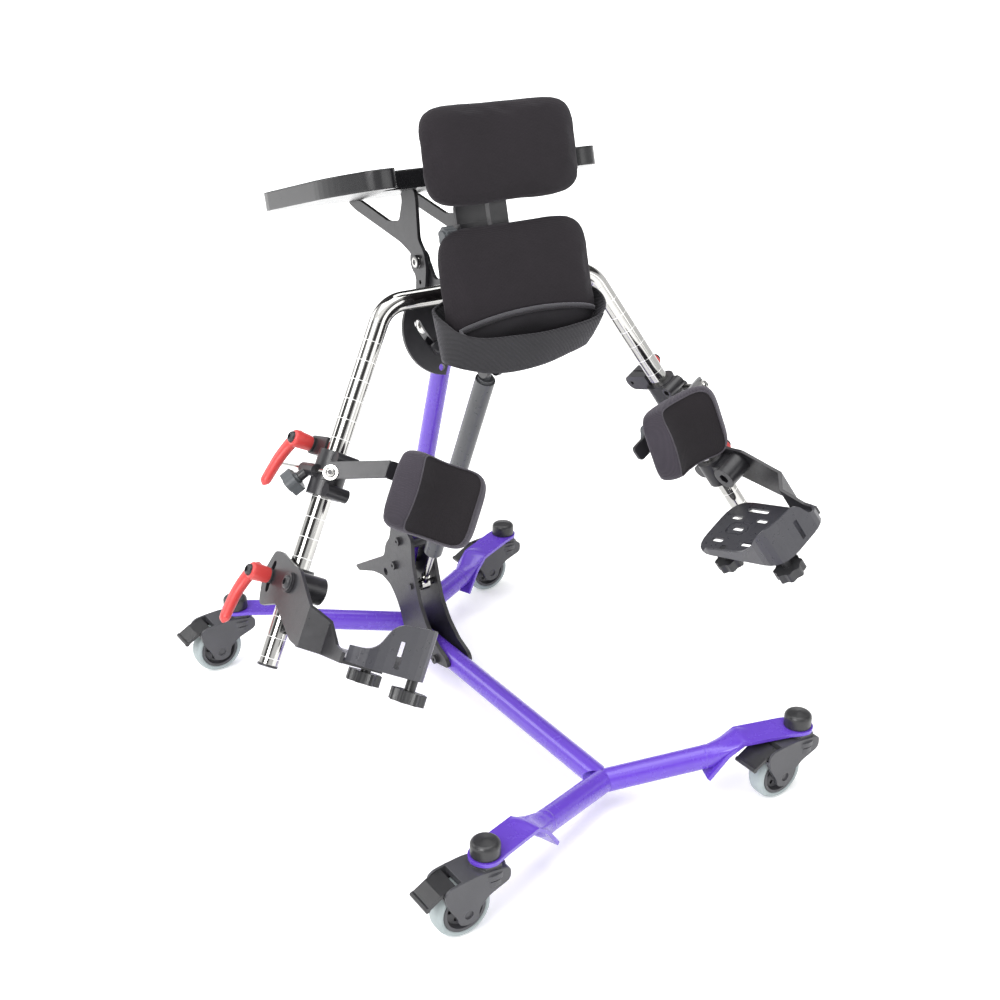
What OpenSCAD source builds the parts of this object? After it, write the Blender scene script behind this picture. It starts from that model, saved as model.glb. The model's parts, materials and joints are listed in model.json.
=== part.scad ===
// Standing frame: wheeled base, tilting column, body pads, tray and two splayed legs.
// Millimetres, +Z up, origin on the floor under the middle of the base, user faces +Y.

/* [Base] */
// Distance from the middle to the apex of each cross bar
apex_y = 260; // [250:1:270]
// Diameter of the spine and cross bar tubes
base_tube_d = 32; // [28:1:34]
// Wall of the cross bar tubes
base_wall = 2; // [1.5:0.5:4]
// Height of the spine tube axis
base_z = 42; // [38:1:44]
// Length of each sloping cross bar tube
bar_len = 152; // [140:1:160]
// How much further out each caster stem is than the length of its cross bar tube
stem_out = 98; // [90:1:110]
// Sweep of the cross bars along the frame for each unit across it
bar_sweep = 0.4; // [0.36:0.01:0.44]
// Rise of the cross bar tube for each unit of run
bar_rise = 0.14; // [0.12:0.01:0.16]
// Thickness of the bent caster tabs
tab_t = 5; // [4:0.5:6]
// Width of the caster tabs
tab_w = 42; // [38:1:46]
// Diameter of the domed caps over the stems
cap_d = 37; // [32:1:40]
// Height of the domed caps
cap_h = 22; // [16:1:26]

/* [Casters] */
// Wheel diameter
wheel_d = 75; // [70:1:80]
// Wheel width
wheel_w = 27; // [24:1:30]
// Thickness of the tyre ring
tyre_t = 9; // [7:0.5:11]
// Offset from the stem to the axle
trail = 36; // [33:1:39]
// Axle diameter
axle_d = 8; // [6:0.5:10]
// Stem diameter
stem_d = 12; // [10:0.5:14]
// Thickness of the fork sides
fork_t = 7; // [6:0.5:8]
// Width of the brake pedal
pedal_w = 36; // [30:1:40]

/* [Column and gas spring] */
// Y of the column foot
foot_y = 263; // [258:1:268]
// Z of the column foot
foot_z = 130; // [126:1:134]
// Y of the tilt pivot
pivot_y = 120; // [116:1:124]
// Z of the tilt pivot
pivot_z = 580; // [560:1:600]
// Diameter of the column tube
column_d = 28; // [25:1:29]
// Wall of the column tube
column_wall = 3; // [2:0.5:5]
// Thickness of the bracket plates
bracket_t = 6; // [4:0.5:8]
// Diameter of the gas spring cylinder
gas_cyl_d = 28; // [24:1:28]
// Diameter of the gas spring rod
gas_rod_d = 10; // [8:0.5:11]
// Length of the cylinder below its eye
gas_cyl_len = 350; // [330:1:360]

/* [Carriage] */
// Forward lean of the carriage at rest
tilt = 15; // [12:1:18]
// Diameter of the tilt pin
tilt_pin_d = 16; // [14:0.5:18]
// Half distance between the inner faces of the side plates
cheek_u = 37; // [34:1:39]
// Thickness of the carriage plates
head_t = 5; // [4:0.5:6]
// Half width of the mast
mast_u = 24; // [20:1:26]
// Height of the mast top above the pivot
mast_top = 154; // [148:1:160]

/* [Pads] */
// Width of the chest and hip pads
pad_w = 234; // [210:1:250]
// Height of the chest pad
chest_h = 134; // [120:1:145]
// Height of the hip pad
hip_h = 162; // [150:1:162]
// Thickness of the pads at the crown
pad_t = 38; // [30:1:42]
// Gap between the hip pad and the chest pad
pad_gap = 13; // [12:1:20]
// Thickness of the pouch fabric
pouch_t = 4; // [3:0.5:5]

/* [Tray] */
// Half width of the tray
tray_u = 200; // [190:1:210]
// Thickness of the tray rim
tray_rim = 24; // [18:1:28]
// Thickness of the tray floor
tray_floor = 6; // [4:1:8]
// Height of the tray underside above the pivot
tray_w = 179; // [176:1:184]
// Half width of the body cut-out
cut_u = 130; // [122:1:138]
// Thickness of the tray bracket plates
tray_arm_t = 5; // [4:0.5:6]

/* [Legs] */
// Leg tube diameter
leg_d = 25.4; // [24:0.1:26]
// Wall of the leg tube
leg_wall = 1.8; // [1.2:0.1:3]
// Outward splay of the legs at rest
splay = 30; // [28:1:32]
// Length of the leg below its corner
leg_len = 465; // [455:1:480]
// Half spacing of the two leg corners
corner_u = 158.5; // [154:0.5:163]
// Bend radius of the leg tube
bend_r = 45; // [40:1:48]
// Inward swing of each leg
leg_swing = 25; // [20:1:25]
// Thickness of the fan plates
fan_t = 5; // [4:0.5:6]
// Distance from the corner to the knee clamp
knee_z = 222; // [215:1:230]
// Distance from the corner to the foot clamp
foot_s = 363; // [355:1:375]

/* [Knee and foot fittings] */
// Outer diameter of the knee clamp
knee_od = 42; // [40:0.5:44]
// Diameter of the knee depth rod
depth_d = 6; // [5:0.5:7]
// Height of the knee arm bar
arm_h = 22; // [18:1:25]
// Thickness of the knee arm bar
arm_t = 5; // [4:0.5:6]
// Width of the knee pads
knee_w = 121; // [110:1:126]
// Height of the knee pads
knee_h = 103; // [92:1:112]
// Diameter of the knurled star knobs
star_d = 34; // [30:1:36]
// Outer diameter of the foot clamp
clamp_od = 40; // [38:0.5:42]
// Thickness of the foot hanger plate
hanger_t = 4.5; // [4:0.5:5]
// Half travel of the ankle slot
ankle_a = 15; // [12:1:16]
// Width of the footplate
plate_x = 108; // [100:1:114]
// Length of the footplate
plate_y = 187; // [180:1:192]
// Thickness of the footplate
plate_t = 3.5; // [3:0.5:4]
// Height of the heel wall above the footplate
heel_h = 57; // [45:1:62]
// Diameter of the wavy footplate knobs
wavy_d = 44; // [38:1:46]

/* [Clearances] */
// Radial clearance of a running fit
fit = 0.05; // [0.03:0.01:0.08]
// Gap between faces that pass each other
gap = 0.4; // [0.35:0.05:0.6]

/* [Hidden] */
$fn = 48;
// Small overlap that lets cuts pass through a face
eps = 0.5;

// Paint and material colours
c_paint = "#6b4bc8";
c_black = "#3c3b40";
c_grey = "#5f6468";
c_fork = "#55545a";
c_tyre = "#9aa6a8";
c_chrome = "#c9cbd0";
c_red = "#e0463f";
c_pad = "#322d35";
c_web = "#232226";

// Base derived sizes
stem_x = bar_len + stem_out;
stem_y = apex_y + stem_x * bar_sweep;
stem_run = norm([stem_x, stem_y - apex_y]);
bar_turn = atan2(stem_y - apex_y, stem_x);
bar_slope = atan(bar_rise);
tab_top = wheel_d + 21;
tab_low = tab_top - tab_t;
plate_in = base_tube_d / 2 + 0.3;
bar_end_z = base_z + bar_len * bar_rise;
// Caster derived sizes
axle_z = wheel_d / 2;
fork_in = wheel_w / 2 + 1;
fork_out = fork_in + fork_t;
crown_z = wheel_d + 2.5;
collar_top = tab_low - gap;
brake_x = -58;
brake_z = wheel_d + 1.5;
brake_hub_d = 10;
brake_pin_d = 4;
// Column direction from the foot to the pivot
column_v = [pivot_y - foot_y, pivot_z - foot_z];
column_lean = atan2(-column_v[0], column_v[1]);
barrel_d = tilt_pin_d + 20;
bolt_d = 8;
bolt_at = [22, 72];
// Gas spring pivots: lower in the world, upper in the carriage
gas_low = [foot_y - 57, foot_z + 5];
gas_up = [-89, -63];
gas_up_w = [pivot_y + gas_up[0] * cos(tilt) + gas_up[1] * sin(tilt),
            pivot_z - gas_up[0] * sin(tilt) + gas_up[1] * cos(tilt)];
gas_v = gas_up_w - gas_low;
gas_len = norm(gas_v);
gas_lean = atan2(-gas_v[0], gas_v[1]);
gas_eye_d = 20;
gas_pin_d = 10;
gas_eye_t = 14;
gas_neck = 24;
gas_slack = 3.6;
gas_wall = 2;
// Gas spring rod reach inside the cylinder, measured down from the upper pivot
gas_tip = 110;

function unit(v) = v / norm(v);
// Rounded corners: each corner is a short parabola that starts c from the corner
function soft(p, c, k = 4) = [for (i = [0 : len(p) - 1])
  let (a = p[(i + len(p) - 1) % len(p)], b = p[i], e = p[(i + 1) % len(p)],
       d = min(c, 0.45 * norm(a - b), 0.45 * norm(e - b)),
       p0 = b + unit(a - b) * d, p1 = b + unit(e - b) * d)
  for (j = [0 : k]) let (s = j / k) p0 * (1 - s) * (1 - s) + b * 2 * s * (1 - s) + p1 * s * s];
// Outline of a strip of thickness t along a line of points
function perp(v) = [-v[1], v[0]];
function side_at(p, i) = let (n = len(p) - 1,
  a = i == 0 ? unit(p[1] - p[0]) : unit(p[i] - p[i - 1]),
  b = i == n ? a : unit(p[i + 1] - p[i]),
  m = unit(perp(a) + perp(b))) m / (m * perp(a));
function strip(p, t) = concat([for (i = [0 : len(p) - 1]) p[i] + side_at(p, i) * t / 2],
  [for (i = [len(p) - 1 : -1 : 0]) p[i] - side_at(p, i) * t / 2]);
// Points along an arc
function arc(c, r, a0, a1, k = 12) = [for (i = [0 : k]) let (a = a0 + (a1 - a0) * i / k)
  c + r * [cos(a), sin(a)]];

// Plates and rods along the axes
module slab_x(x0, t) { translate([x0, 0, 0]) rotate([90, 0, 90]) linear_extrude(t) children(); }
module slab_y(y0, t) { translate([0, y0 + t, 0]) rotate([90, 0, 0]) linear_extrude(t) children(); }
module rod_x(d, x0, x1, y = 0, z = 0) {
  translate([x0, y, z]) rotate([0, 90, 0]) cylinder(d = d, h = x1 - x0);
}
module rod_y(d, y0, y1, x = 0, z = 0) {
  translate([x, y0, z]) rotate([-90, 0, 0]) cylinder(d = d, h = y1 - y0);
}
module rod_z(d, z0, z1, x = 0, y = 0) { translate([x, y, z0]) cylinder(d = d, h = z1 - z0); }
module box(lo, hi) { translate(lo) cube(hi - lo); }
// Wavy disc for a hand knob, n lobes
module lobes(d, n, h) {
  linear_extrude(h) polygon([for (i = [0 : 6 * n - 1]) let (a = 60 * i / n)
    d / 2 * (0.92 + 0.08 * cos(n * a)) * [cos(a), sin(a)]]);
}
// Cushion: rings from the back face to the crown; bend cups it across, and fall lets the wings run out
// towards the top and bottom
function ring_pt(a, hx, hy, e) = [hx * sign(cos(a)) * pow(abs(cos(a)), e),
  hy * sign(sin(a)) * pow(abs(sin(a)), e)];
module cushion(w, h, t, bend = 0, fall = 0, e = 0.5, k = 36) {
  // Share of the outline and of the thickness at each ring, back to front
  rings = [[0.5, 0], [0.9, 0], [0.955, 0.1], [0.99, 0.3], [1, 0.5], [0.985, 0.68], [0.94, 0.83],
           [0.85, 0.92], [0.65, 0.97], [0.35, 0.995]];
  m = len(rings);
  pts = concat([for (r = rings) for (i = [0 : k - 1])
      let (q = ring_pt(360 * i / k, w / 2 * r[0], h / 2 * r[0], e))
      [q[0], -t * r[1] - bend * pow(2 * q[0] / w, 2) * (1 - fall * pow(2 * q[1] / h, 2)), q[1]]],
    [[0, 0, 0], [0, -t, 0]]);
  faces = concat([for (j = [0 : m - 2]) for (i = [0 : k - 1]) let (n = (i + 1) % k)
      each [[j * k + i, j * k + n, (j + 1) * k + n], [j * k + i, (j + 1) * k + n, (j + 1) * k + i]]],
    [for (i = [0 : k - 1]) let (n = (i + 1) % k) [m * k, n, i]],
    [for (i = [0 : k - 1]) let (n = (i + 1) % k) [m * k + 1, (m - 1) * k + i, (m - 1) * k + n]]);
  polyhedron(pts, faces, convexity = 4);
}

// Placement of the tilting carriage, of a leg and of a caster
module carriage() { translate([0, pivot_y, pivot_z]) rotate([-tilt, 0, 0]) children(); }
module left() { carriage() children(); }
module right() { carriage() mirror([1, 0, 0]) children(); }
module leg_axis() { translate([-corner_u, leg_n, leg_w]) rotate([0, splay, 0]) children(); }
module knee() { leg_axis() translate([0, 0, -knee_z]) children(); }
module foot() { leg_axis() translate([0, 0, -foot_s]) children(); }
module at_stem(sx, sy) { translate([sx * stem_x, sy * stem_y, 0]) children(); }

// Base frame
module bar_arm(sx, d, from = 0, to = bar_len) {
  rotate([0, 0, sx > 0 ? bar_turn : 180 - bar_turn]) translate([0, 0, base_z]) rotate([0, 90 - bar_slope, 0])
    translate([0, 0, from]) cylinder(d = d, h = to - from);
}
module bar_tab(sx) {
  line = [[bar_len - 11, base_z - 4], [bar_len + 14, bar_end_z + 8],
          [bar_len + 35, tab_top - 6 - tab_t / 2], [stem_run - 18, tab_top - tab_t / 2],
          [stem_run, tab_top - tab_t / 2]];
  rotate([0, 0, sx > 0 ? bar_turn : 180 - bar_turn]) difference() {
    union() {
      slab_y(-tab_w / 2, tab_w) polygon(strip(line, tab_t));
      rod_z(tab_w, tab_low, tab_top, stem_run);
    }
    rod_z(stem_d + 2 * fit, tab_low - eps, tab_top + eps, stem_run);
  }
}
module cross_bar(sx) {
  reach = 3 * base_tube_d;
  color(c_paint) translate([0, apex_y, 0]) union() {
    difference() {
      bar_arm(sx, base_tube_d, -base_tube_d);
      bar_arm(sx, base_tube_d - 2 * base_wall, 2 * base_tube_d, bar_len + eps);
      // The two arms meet on the middle plane
      mirror([sx > 0 ? 0 : 1, 0, 0]) box([-reach, -reach, 0], [0, reach, reach]);
    }
    bar_tab(sx);
  }
}
module front_bar(sx) { cross_bar(sx); }
module rear_bar(sx) { mirror([0, 1, 0]) cross_bar(sx); }
module spine_tube() {
  color(c_paint) difference() {
    rod_y(base_tube_d, -apex_y, apex_y, 0, base_z);
    for (sy = [0, 1]) mirror([0, sy, 0]) translate([0, apex_y, 0]) for (sx = [-1, 1])
      bar_arm(sx, base_tube_d, -base_tube_d);
    for (p = bracket_bolts) rod_x(bolt_d + 2 * fit, -base_tube_d, base_tube_d, p[0], p[1]);
  }
}
module caster_caps() {
  color(c_grey) for (sx = [-1, 1]) for (sy = [-1, 1]) at_stem(sx, sy) translate([0, 0, tab_top])
    rotate_extrude() polygon(concat([[0, 0], [cap_d / 2 - 1, 0], [cap_d / 2, 1], [cap_d / 2, cap_h * 0.6]],
      arc([cap_d / 2 - cap_h * 0.3, cap_h * 0.6], cap_h * 0.3, 0, 70, 5), [[0, cap_h]]));
}

// Bracket that holds the column: two shaped plates, their bolts and the gas spring pin
bracket_bolts = [[foot_y - 130, base_z], [foot_y - 50, base_z]];
module bracket_outline() {
  up = [foot_y, foot_z];
  low = [foot_y, base_z];
  polygon(soft([up + [-60, 84], up + [-61, 46], up + [-69, 19], up + [-80, -13], up + [-101, -42],
    low + [-129, 24], low + [-159, 12], low + [-165, 0], low + [-120, -9], low + [-58, -6], low + [-32, 8],
    up + [-22, -54], up + [-9, -36], up + [9, -20], up + [35, -14], up + [66, -20], up + [117, -40],
    up + [129, -35], up + [28, 24], up + [22, 47], up + [9, 62], up + [0, 98], up + [-25, 106],
    up + [-42, 96]], 7));
}
module bracket_plates() {
  out = plate_in + bracket_t;
  color(c_black) {
    for (s = [0, 1]) mirror([s, 0, 0]) difference() {
      slab_x(plate_in, bracket_t) bracket_outline();
      rod_x(12, plate_in - eps, out + eps, foot_y + 24, foot_z - 3);
      for (p = bracket_bolts) rod_x(bolt_d + 2 * fit, plate_in - eps, out + eps, p[0], p[1]);
      for (b = bolt_at) rod_x(bolt_d + 2 * fit, plate_in - eps, out + eps,
        foot_y - sin(column_lean) * b, foot_z + cos(column_lean) * b);
      rod_x(gas_pin_d + 2 * fit, plate_in - eps, out + eps, gas_low[0], gas_low[1]);
    }
    rod_x(gas_pin_d, -out - 3, out + 3, gas_low[0], gas_low[1]);
    rod_x(14, -plate_in, plate_in, foot_y - 50, foot_z + 74);
    for (p = bracket_bolts) cross_bolt(p, out);
    for (b = bolt_at) cross_bolt([foot_y - sin(column_lean) * b, foot_z + cos(column_lean) * b], out);
  }
}
module cross_bolt(p, out) {
  rod_x(bolt_d, -out, out, p[0], p[1]);
  for (s = [0, 1]) mirror([s, 0, 0]) difference() {
    rod_x(bolt_d * 1.7, out, out + 5, p[0], p[1]);
    translate([out + 2, p[0], p[1]]) rotate([0, 90, 0]) cylinder(d = bolt_d * 0.7, h = 5, $fn = 6);
  }
}
module main_column() {
  length = norm(column_v);
  color(c_paint) difference() {
    union() {
      translate([0, foot_y, foot_z]) rotate([column_lean, 0, 0]) cylinder(d = column_d, h = length);
      rod_x(barrel_d, -cheek_u + gap, cheek_u - gap, pivot_y, pivot_z);
    }
    translate([0, foot_y, foot_z]) rotate([column_lean, 0, 0]) translate([0, 0, -eps])
      cylinder(d = column_d - 2 * column_wall, h = length - barrel_d / 2);
    rod_x(tilt_pin_d + 2 * fit, -cheek_u - eps, cheek_u + eps, pivot_y, pivot_z);
    for (b = bolt_at) rod_x(bolt_d + 2 * fit, -column_d, column_d,
      foot_y - sin(column_lean) * b, foot_z + cos(column_lean) * b);
  }
}

// Casters
module caster_fork() {
  top = collar_top;
  color(c_fork) difference() {
    union() {
      slab_y(-fork_out, 2 * fork_out) polygon(soft([[22, wheel_d - 10], [22, top - 8], [-20, top - 3],
        [-46, top - 5], [-60, top - 7], [-68, top - 13], [-64, axle_z + 20], [-trail - 15, axle_z],
        [-trail - 13, axle_z - 10], [-trail, axle_z - 15], [-trail + 13, axle_z - 10],
        [-trail + 15, axle_z + 4], [-8, axle_z + 16]], 7));
      rod_z(46, wheel_d - 11, wheel_d - 4);
      rod_z(42, wheel_d - 11, top - 9);
      rod_z(48, wheel_d - 2, wheel_d + 5);
      translate([0, 0, wheel_d + 5]) cylinder(d = 44, h = top - wheel_d - 5, $fn = 6);
      rod_z(stem_d, wheel_d, tab_top - gap);
    }
    rod_y(wheel_d + 5, -fork_in, fork_in, -trail, axle_z);
    box([-90, -pedal_w / 2 - gap, brake_z - 7], [brake_x + 14, pedal_w / 2 + gap, tab_top + 20]);
    rod_y(12, -fork_out - eps, -fork_out + 2, -trail, axle_z);
    rod_y(12, fork_out - 2, fork_out + eps, -trail, axle_z);
  }
  color(c_chrome) rod_y(axle_d, -fork_in, fork_in, -trail, axle_z);
  color(c_black) rod_y(brake_pin_d, -fork_out, fork_out, brake_x, brake_z);
}
module caster_tyre() {
  r = wheel_d / 2;
  color(c_tyre) translate([-trail, 0, axle_z]) rotate([90, 0, 0]) rotate_extrude() translate([r, 0])
    polygon(soft([[-tyre_t, -wheel_w / 2 + 1], [-4, -wheel_w / 2], [0, -wheel_w / 2 + 6],
      [0, wheel_w / 2 - 6], [-4, wheel_w / 2], [-tyre_t, wheel_w / 2 - 1]], 3, 3));
}
module caster_hub() {
  r = wheel_d / 2 - tyre_t;
  half = wheel_w / 2 - 1;
  color(c_fork) translate([-trail, 0, axle_z]) rotate([90, 0, 0]) difference() {
    rotate_extrude() polygon([[axle_d / 2 + fit, -half - 1], [axle_d / 2 + 5, -half - 1],
      [axle_d / 2 + 6, -5], [r - 6, -5], [r - 4, -half], [r, -half], [r, half],
      [r - 4, half], [r - 6, 5], [axle_d / 2 + 6, 5],
      [axle_d / 2 + 5, half + 1], [axle_d / 2 + fit, half + 1]]);
    for (i = [0 : 5]) rotate([0, 0, 60 * i]) translate([(axle_d / 2 + r) / 2, 0, -eps - 5])
      cylinder(d = 6, h = 10 + 2 * eps);
  }
}
module caster_brake() {
  hub = [brake_x, brake_z];
  low = [brake_x - 31, wheel_d - 10];
  high = [brake_x + 7, wheel_d + 7];
  color(c_black) difference() {
    union() {
      rod_y(brake_hub_d, -pedal_w / 2, pedal_w / 2, hub[0], hub[1]);
      slab_y(-pedal_w / 2, pedal_w) polygon(strip([low, (low + high) / 2 + [-1, 2], high], 4.5));
      for (y = [-pedal_w / 2, pedal_w / 2 - 6, -3])
        slab_y(y, 6) polygon([hub + [-5, 0], hub + [5, 0], high + [-1, 0], (low + high) / 2]);
      rod_y(7, -pedal_w / 2, pedal_w / 2, low[0], low[1]);
    }
    rod_y(brake_pin_d + 2 * fit, -pedal_w, pedal_w, hub[0], hub[1]);
  }
}

// Gas spring: the cylinder hangs from the carriage and the rod stands on the bracket
module gas_axis() { translate([0, gas_low[0], gas_low[1]]) rotate([gas_lean, 0, 0]) children(); }
module gas_spring_cylinder() {
  top = gas_len - gas_neck;
  low = top - gas_cyl_len;
  color(c_grey) gas_axis() difference() {
    union() {
      rod_x(gas_eye_d, -gas_eye_t / 2, gas_eye_t / 2, 0, gas_len);
      rod_z(12, top - 3, gas_len - gas_pin_d / 2 - 2);
      rod_z(gas_cyl_d, low, top);
      rod_z(gas_cyl_d - 6, top, top + 4);
    }
    rod_x(gas_pin_d + 2 * fit, -gas_eye_t, gas_eye_t, 0, gas_len);
    rod_z(min(gas_rod_d + 2 * gas_slack, gas_cyl_d - 2 * gas_wall), low - eps, gas_len - gas_tip + 45);
  }
}
module gas_spring_rod() {
  color(c_chrome) gas_axis() difference() {
    union() {
      rod_x(gas_eye_d, -gas_eye_t / 2, gas_eye_t / 2);
      rod_z(14, 0, gas_eye_d / 2 + 8);
      rod_z(gas_rod_d, 0, gas_len - gas_tip);
    }
    rod_x(gas_pin_d + 2 * fit, -gas_eye_t, gas_eye_t);
  }
}

// Carriage derived sizes, in carriage axes measured from the tilt pivot: u across, n forward, w up
leg_n = -122;
leg_w = 42;
leg_piv_u = 22;
back_n = -98;
back_t = head_t + 1;
pad_back = -168;
hip_low = -35;
hip_mid = hip_low + hip_h / 2;
chest_low = hip_low + hip_h + pad_gap;
chest_mid = chest_low + chest_h / 2;
block_u = 25;
block_w = [69, 109];
rail_u = 13;
rail_n = [pad_back + 4, pad_back + 14];
rail_w = [10, chest_low + 49];
knob_n = -96;
knob_w = 112;
knob_stem_d = 8;
stud_at = [89, -24];
stud_d = 8;
stud_r = norm([stud_at[0] - leg_piv_u, stud_at[1] - leg_w]);
stud_a = 180 + atan2(leg_w - stud_at[1], stud_at[0] - leg_piv_u);
fan_n = -112;
tray_piv = [-23, 85];
tray_pin_d = 10;
tray_arm_u = cheek_u + head_t + 1.5;
leg_pin_d = 12;

module carriage_head() {
  cheek_out = cheek_u + head_t;
  color(c_black) difference() {
    union() {
      // Back plate with its mast and stud wings
      slab_y(back_n, back_t) polygon(soft([[-98, -38], [98, -38], [98, -10], [58, 4], [58, 62], [mast_u, 76],
        [mast_u, mast_top], [-mast_u, mast_top], [-mast_u, 76], [-58, 62], [-58, 4], [-98, -10]], 11));
      // Side plates
      for (s = [0, 1]) mirror([s, 0, 0]) slab_x(cheek_u, head_t) {
        polygon(soft([[back_n + 1, -30], [-12, -21], [16, -16], [20, 8], [-9, 88], [-37, 88], [-48, 60],
          [back_n + 1, 56]], 8));
        circle(d = barrel_d + 6);
        translate(tray_piv) circle(r = 15);
      }
      // Pad block with its rail guide, and the clamp housing behind it
      box([-block_u, pad_back, block_w[0]], [block_u, back_n + 1, block_w[1]]);
      box([-block_u, back_n - 8, block_w[1] - 14], [block_u, back_n + 14, knob_w + 14]);
      // Gas spring ears
      for (s = [0, 1]) mirror([s, 0, 0]) slab_x(gas_eye_t / 2 + gap, head_t) {
        polygon([[back_n, -28], [back_n + back_t, -28], gas_up + [14, 4], gas_up + [-12, 8]]);
        translate(gas_up) circle(d = 30);
      }
    }
    for (s = [-1, 1]) rod_y(leg_pin_d + 2 * fit, back_n - eps, back_n + back_t + eps, s * leg_piv_u, leg_w);
    box([-rail_u - gap, rail_n[0] - gap, block_w[0] - eps],
      [rail_u + gap, rail_n[1] + gap, block_w[1] + eps]);
    rod_x(knob_stem_d + 2 * fit, -block_u - eps, -6, knob_n, knob_w);
    rod_y(14, back_n - eps, back_n + back_t + eps, 0, 40);
    for (s = [-1, 1]) rod_y(12, back_n - eps, back_n + back_t + eps, s * 40, 18);
  }
  color(c_chrome) {
    rod_x(tilt_pin_d, -cheek_out, cheek_out);
    for (s = [0, 1]) mirror([s, 0, 0]) {
      rod_x(tilt_pin_d + 8, cheek_out, cheek_out + 1);
      // Tray pins with their heads
      rod_x(tray_pin_d, cheek_u + 1, tray_arm_u + tray_arm_t + gap, tray_piv[0], tray_piv[1]);
      rod_x(tray_pin_d + 8, tray_arm_u + tray_arm_t + gap, tray_arm_u + tray_arm_t + 5,
        tray_piv[0], tray_piv[1]);
      // Lock studs in the fan slots
      rod_y(stud_d, fan_n - gap, back_n + 1, stud_at[0], stud_at[1]);
      rod_y(stud_d + 8, fan_n - 5, fan_n - gap, stud_at[0], stud_at[1]);
    }
    rod_x(gas_pin_d, -gas_eye_t / 2 - head_t - 2, gas_eye_t / 2 + head_t + 2, gas_up[0], gas_up[1]);
  }
}
module body_pad(mid, h) {
  color(c_pad) translate([0, pad_back, mid]) cushion(pad_w, h, pad_t, e = pad_square);
}
module hip_pad() { body_pad(hip_mid, hip_h); }
module chest_pad() { body_pad(chest_mid, chest_h); }

// Pouch: a curved sheet that hangs under the hip pad, with a lip that dips and gapes in the middle
pouch_low = hip_low - 11;
pouch_sag = 9;
pouch_lip = [-9, -19];
pouch_turn = 10;
pouch_gape = 22;
// Share of the sheet's height that is its turned bottom
pouch_curl = 0.3;
// Squareness of the pad outline, 1 for an ellipse, and of the pouch in plan
pad_square = 0.42;
pouch_square = 0.35;
function pouch_pt(a, t, inset) = let (c = pow(abs(cos(a)), pouch_square),
  s = sign(sin(a)) * pow(abs(sin(a)), pouch_square),
  k = sin(90 * min(1, t / pouch_curl)), up = max(0, (t - pouch_curl) / (1 - pouch_curl)),
  lip = pouch_lip[0] + (pouch_lip[1] - pouch_lip[0]) * c,
  start = pouch_low - pouch_sag * c + inset * (1 - k * 0.6),
  w = start + pouch_turn * (1 - sqrt(max(0, 1 - k * k))) + (lip - start - pouch_turn) * up,
  edge = pow(1 - pow(min(1, abs(w - hip_mid) * 2 / hip_h), 2 / pad_square), pad_square / 2),
  half = pad_w / 2 * max(0.86, edge) + 0.6 + pouch_t - inset, deep = pad_t - 6.1 + pouch_t - inset)
  [half * s * (0.85 + 0.15 * k),
   pad_back - 7 - deep * c * (0.2 + 0.8 * k) - pouch_gape * pow(up, 1.4) * cos(a), w];
module hip_pouch() {
  m = 32;
  r = 12;
  w = m + 1;
  h = r + 1;
  q = w * h;
  pts = [for (v = [0, pouch_t]) for (j = [0 : r]) for (i = [0 : m]) pouch_pt(-90 + 180 * i / m, j / r, v)];
  skin = [for (j = [0 : r - 1]) for (i = [0 : m - 1]) let (a = j * w + i, b = a + w) [a, a + 1, b + 1, b]];
  edge = concat([for (i = [0 : m - 1]) [i, i + 1]], [for (j = [0 : r - 1]) [j * w + m, (j + 1) * w + m]],
    [for (i = [m : -1 : 1]) [r * w + i, r * w + i - 1]], [for (j = [r : -1 : 1]) [j * w, (j - 1) * w]]);
  faces = concat([for (f = skin) each [[f[2], f[1], f[0]], [f[3], f[2], f[0]]]],
    [for (f = skin) each [[f[0] + q, f[1] + q, f[2] + q], [f[0] + q, f[2] + q, f[3] + q]]],
    [for (e = edge) each [[e[0], e[1], e[1] + q], [e[0], e[1] + q, e[0] + q]]]);
  color(c_web) polyhedron(pts, faces, convexity = 6);
}

// Chest pad slider with its clamp knob
module chest_slider() {
  color(c_black) difference() {
    union() {
      box([-rail_u, rail_n[0], rail_w[0]], [rail_u, rail_n[1], rail_w[1]]);
      slab_y(pad_back, 4) polygon(soft([[-32, chest_low + 8], [32, chest_low + 8], [32, chest_low + 60],
        [-32, chest_low + 60]], 10));
    }
    for (z = [rail_w[0] + 14 : 22 : rail_w[1] - 60]) rod_y(8, rail_n[0] - eps, rail_n[1] + eps, 0, z);
  }
}
module chest_knob() {
  color(c_grey) {
    rod_x(knob_stem_d, -block_u - 6, -8, knob_n, knob_w);
    translate([-block_u - gap, knob_n, knob_w]) rotate([0, -90, 0]) {
      cylinder(d = 14, h = 5);
      translate([0, 0, 5]) lobes(27, 6, 16);
      translate([0, 0, 21]) cylinder(d = 16, h = 2);
    }
  }
}

// Tray with a recessed top, on two forked brackets
tray_rear = -158;
tray_front = 119;
tray_bow = 35;
cut_front = -86;
tray_lip = 12;
// Long easy corners at the user's end: how far they reach across and along
tray_ease = [34, 64];
function tray_outline(i) = soft(concat([[-cut_u - i, cut_front + i], [-cut_u - i, tray_rear + i],
  [-tray_u + tray_ease[0] + i / 2, tray_rear + i], [-tray_u + i, tray_rear + tray_ease[1] + i / 2],
  [-tray_u + i, tray_front - i]],
  [for (j = [-2 : 2]) let (x = j * (tray_u - i) * 0.3)
    [x, tray_front - i + tray_bow * cos(60 * x / (0.6 * tray_u))]],
  [[tray_u - i, tray_front - i], [tray_u - i, tray_rear + tray_ease[1] + i / 2],
    [tray_u - tray_ease[0] - i / 2, tray_rear + i], [cut_u + i, tray_rear + i],
    [cut_u + i, cut_front + i]]), 34, 6);
module tray() {
  color(c_black) difference() {
    translate([0, 0, tray_w]) linear_extrude(tray_rim) polygon(tray_outline(0));
    translate([0, 0, tray_w + tray_floor]) linear_extrude(tray_rim) polygon(tray_outline(tray_lip));
  }
}
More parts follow.
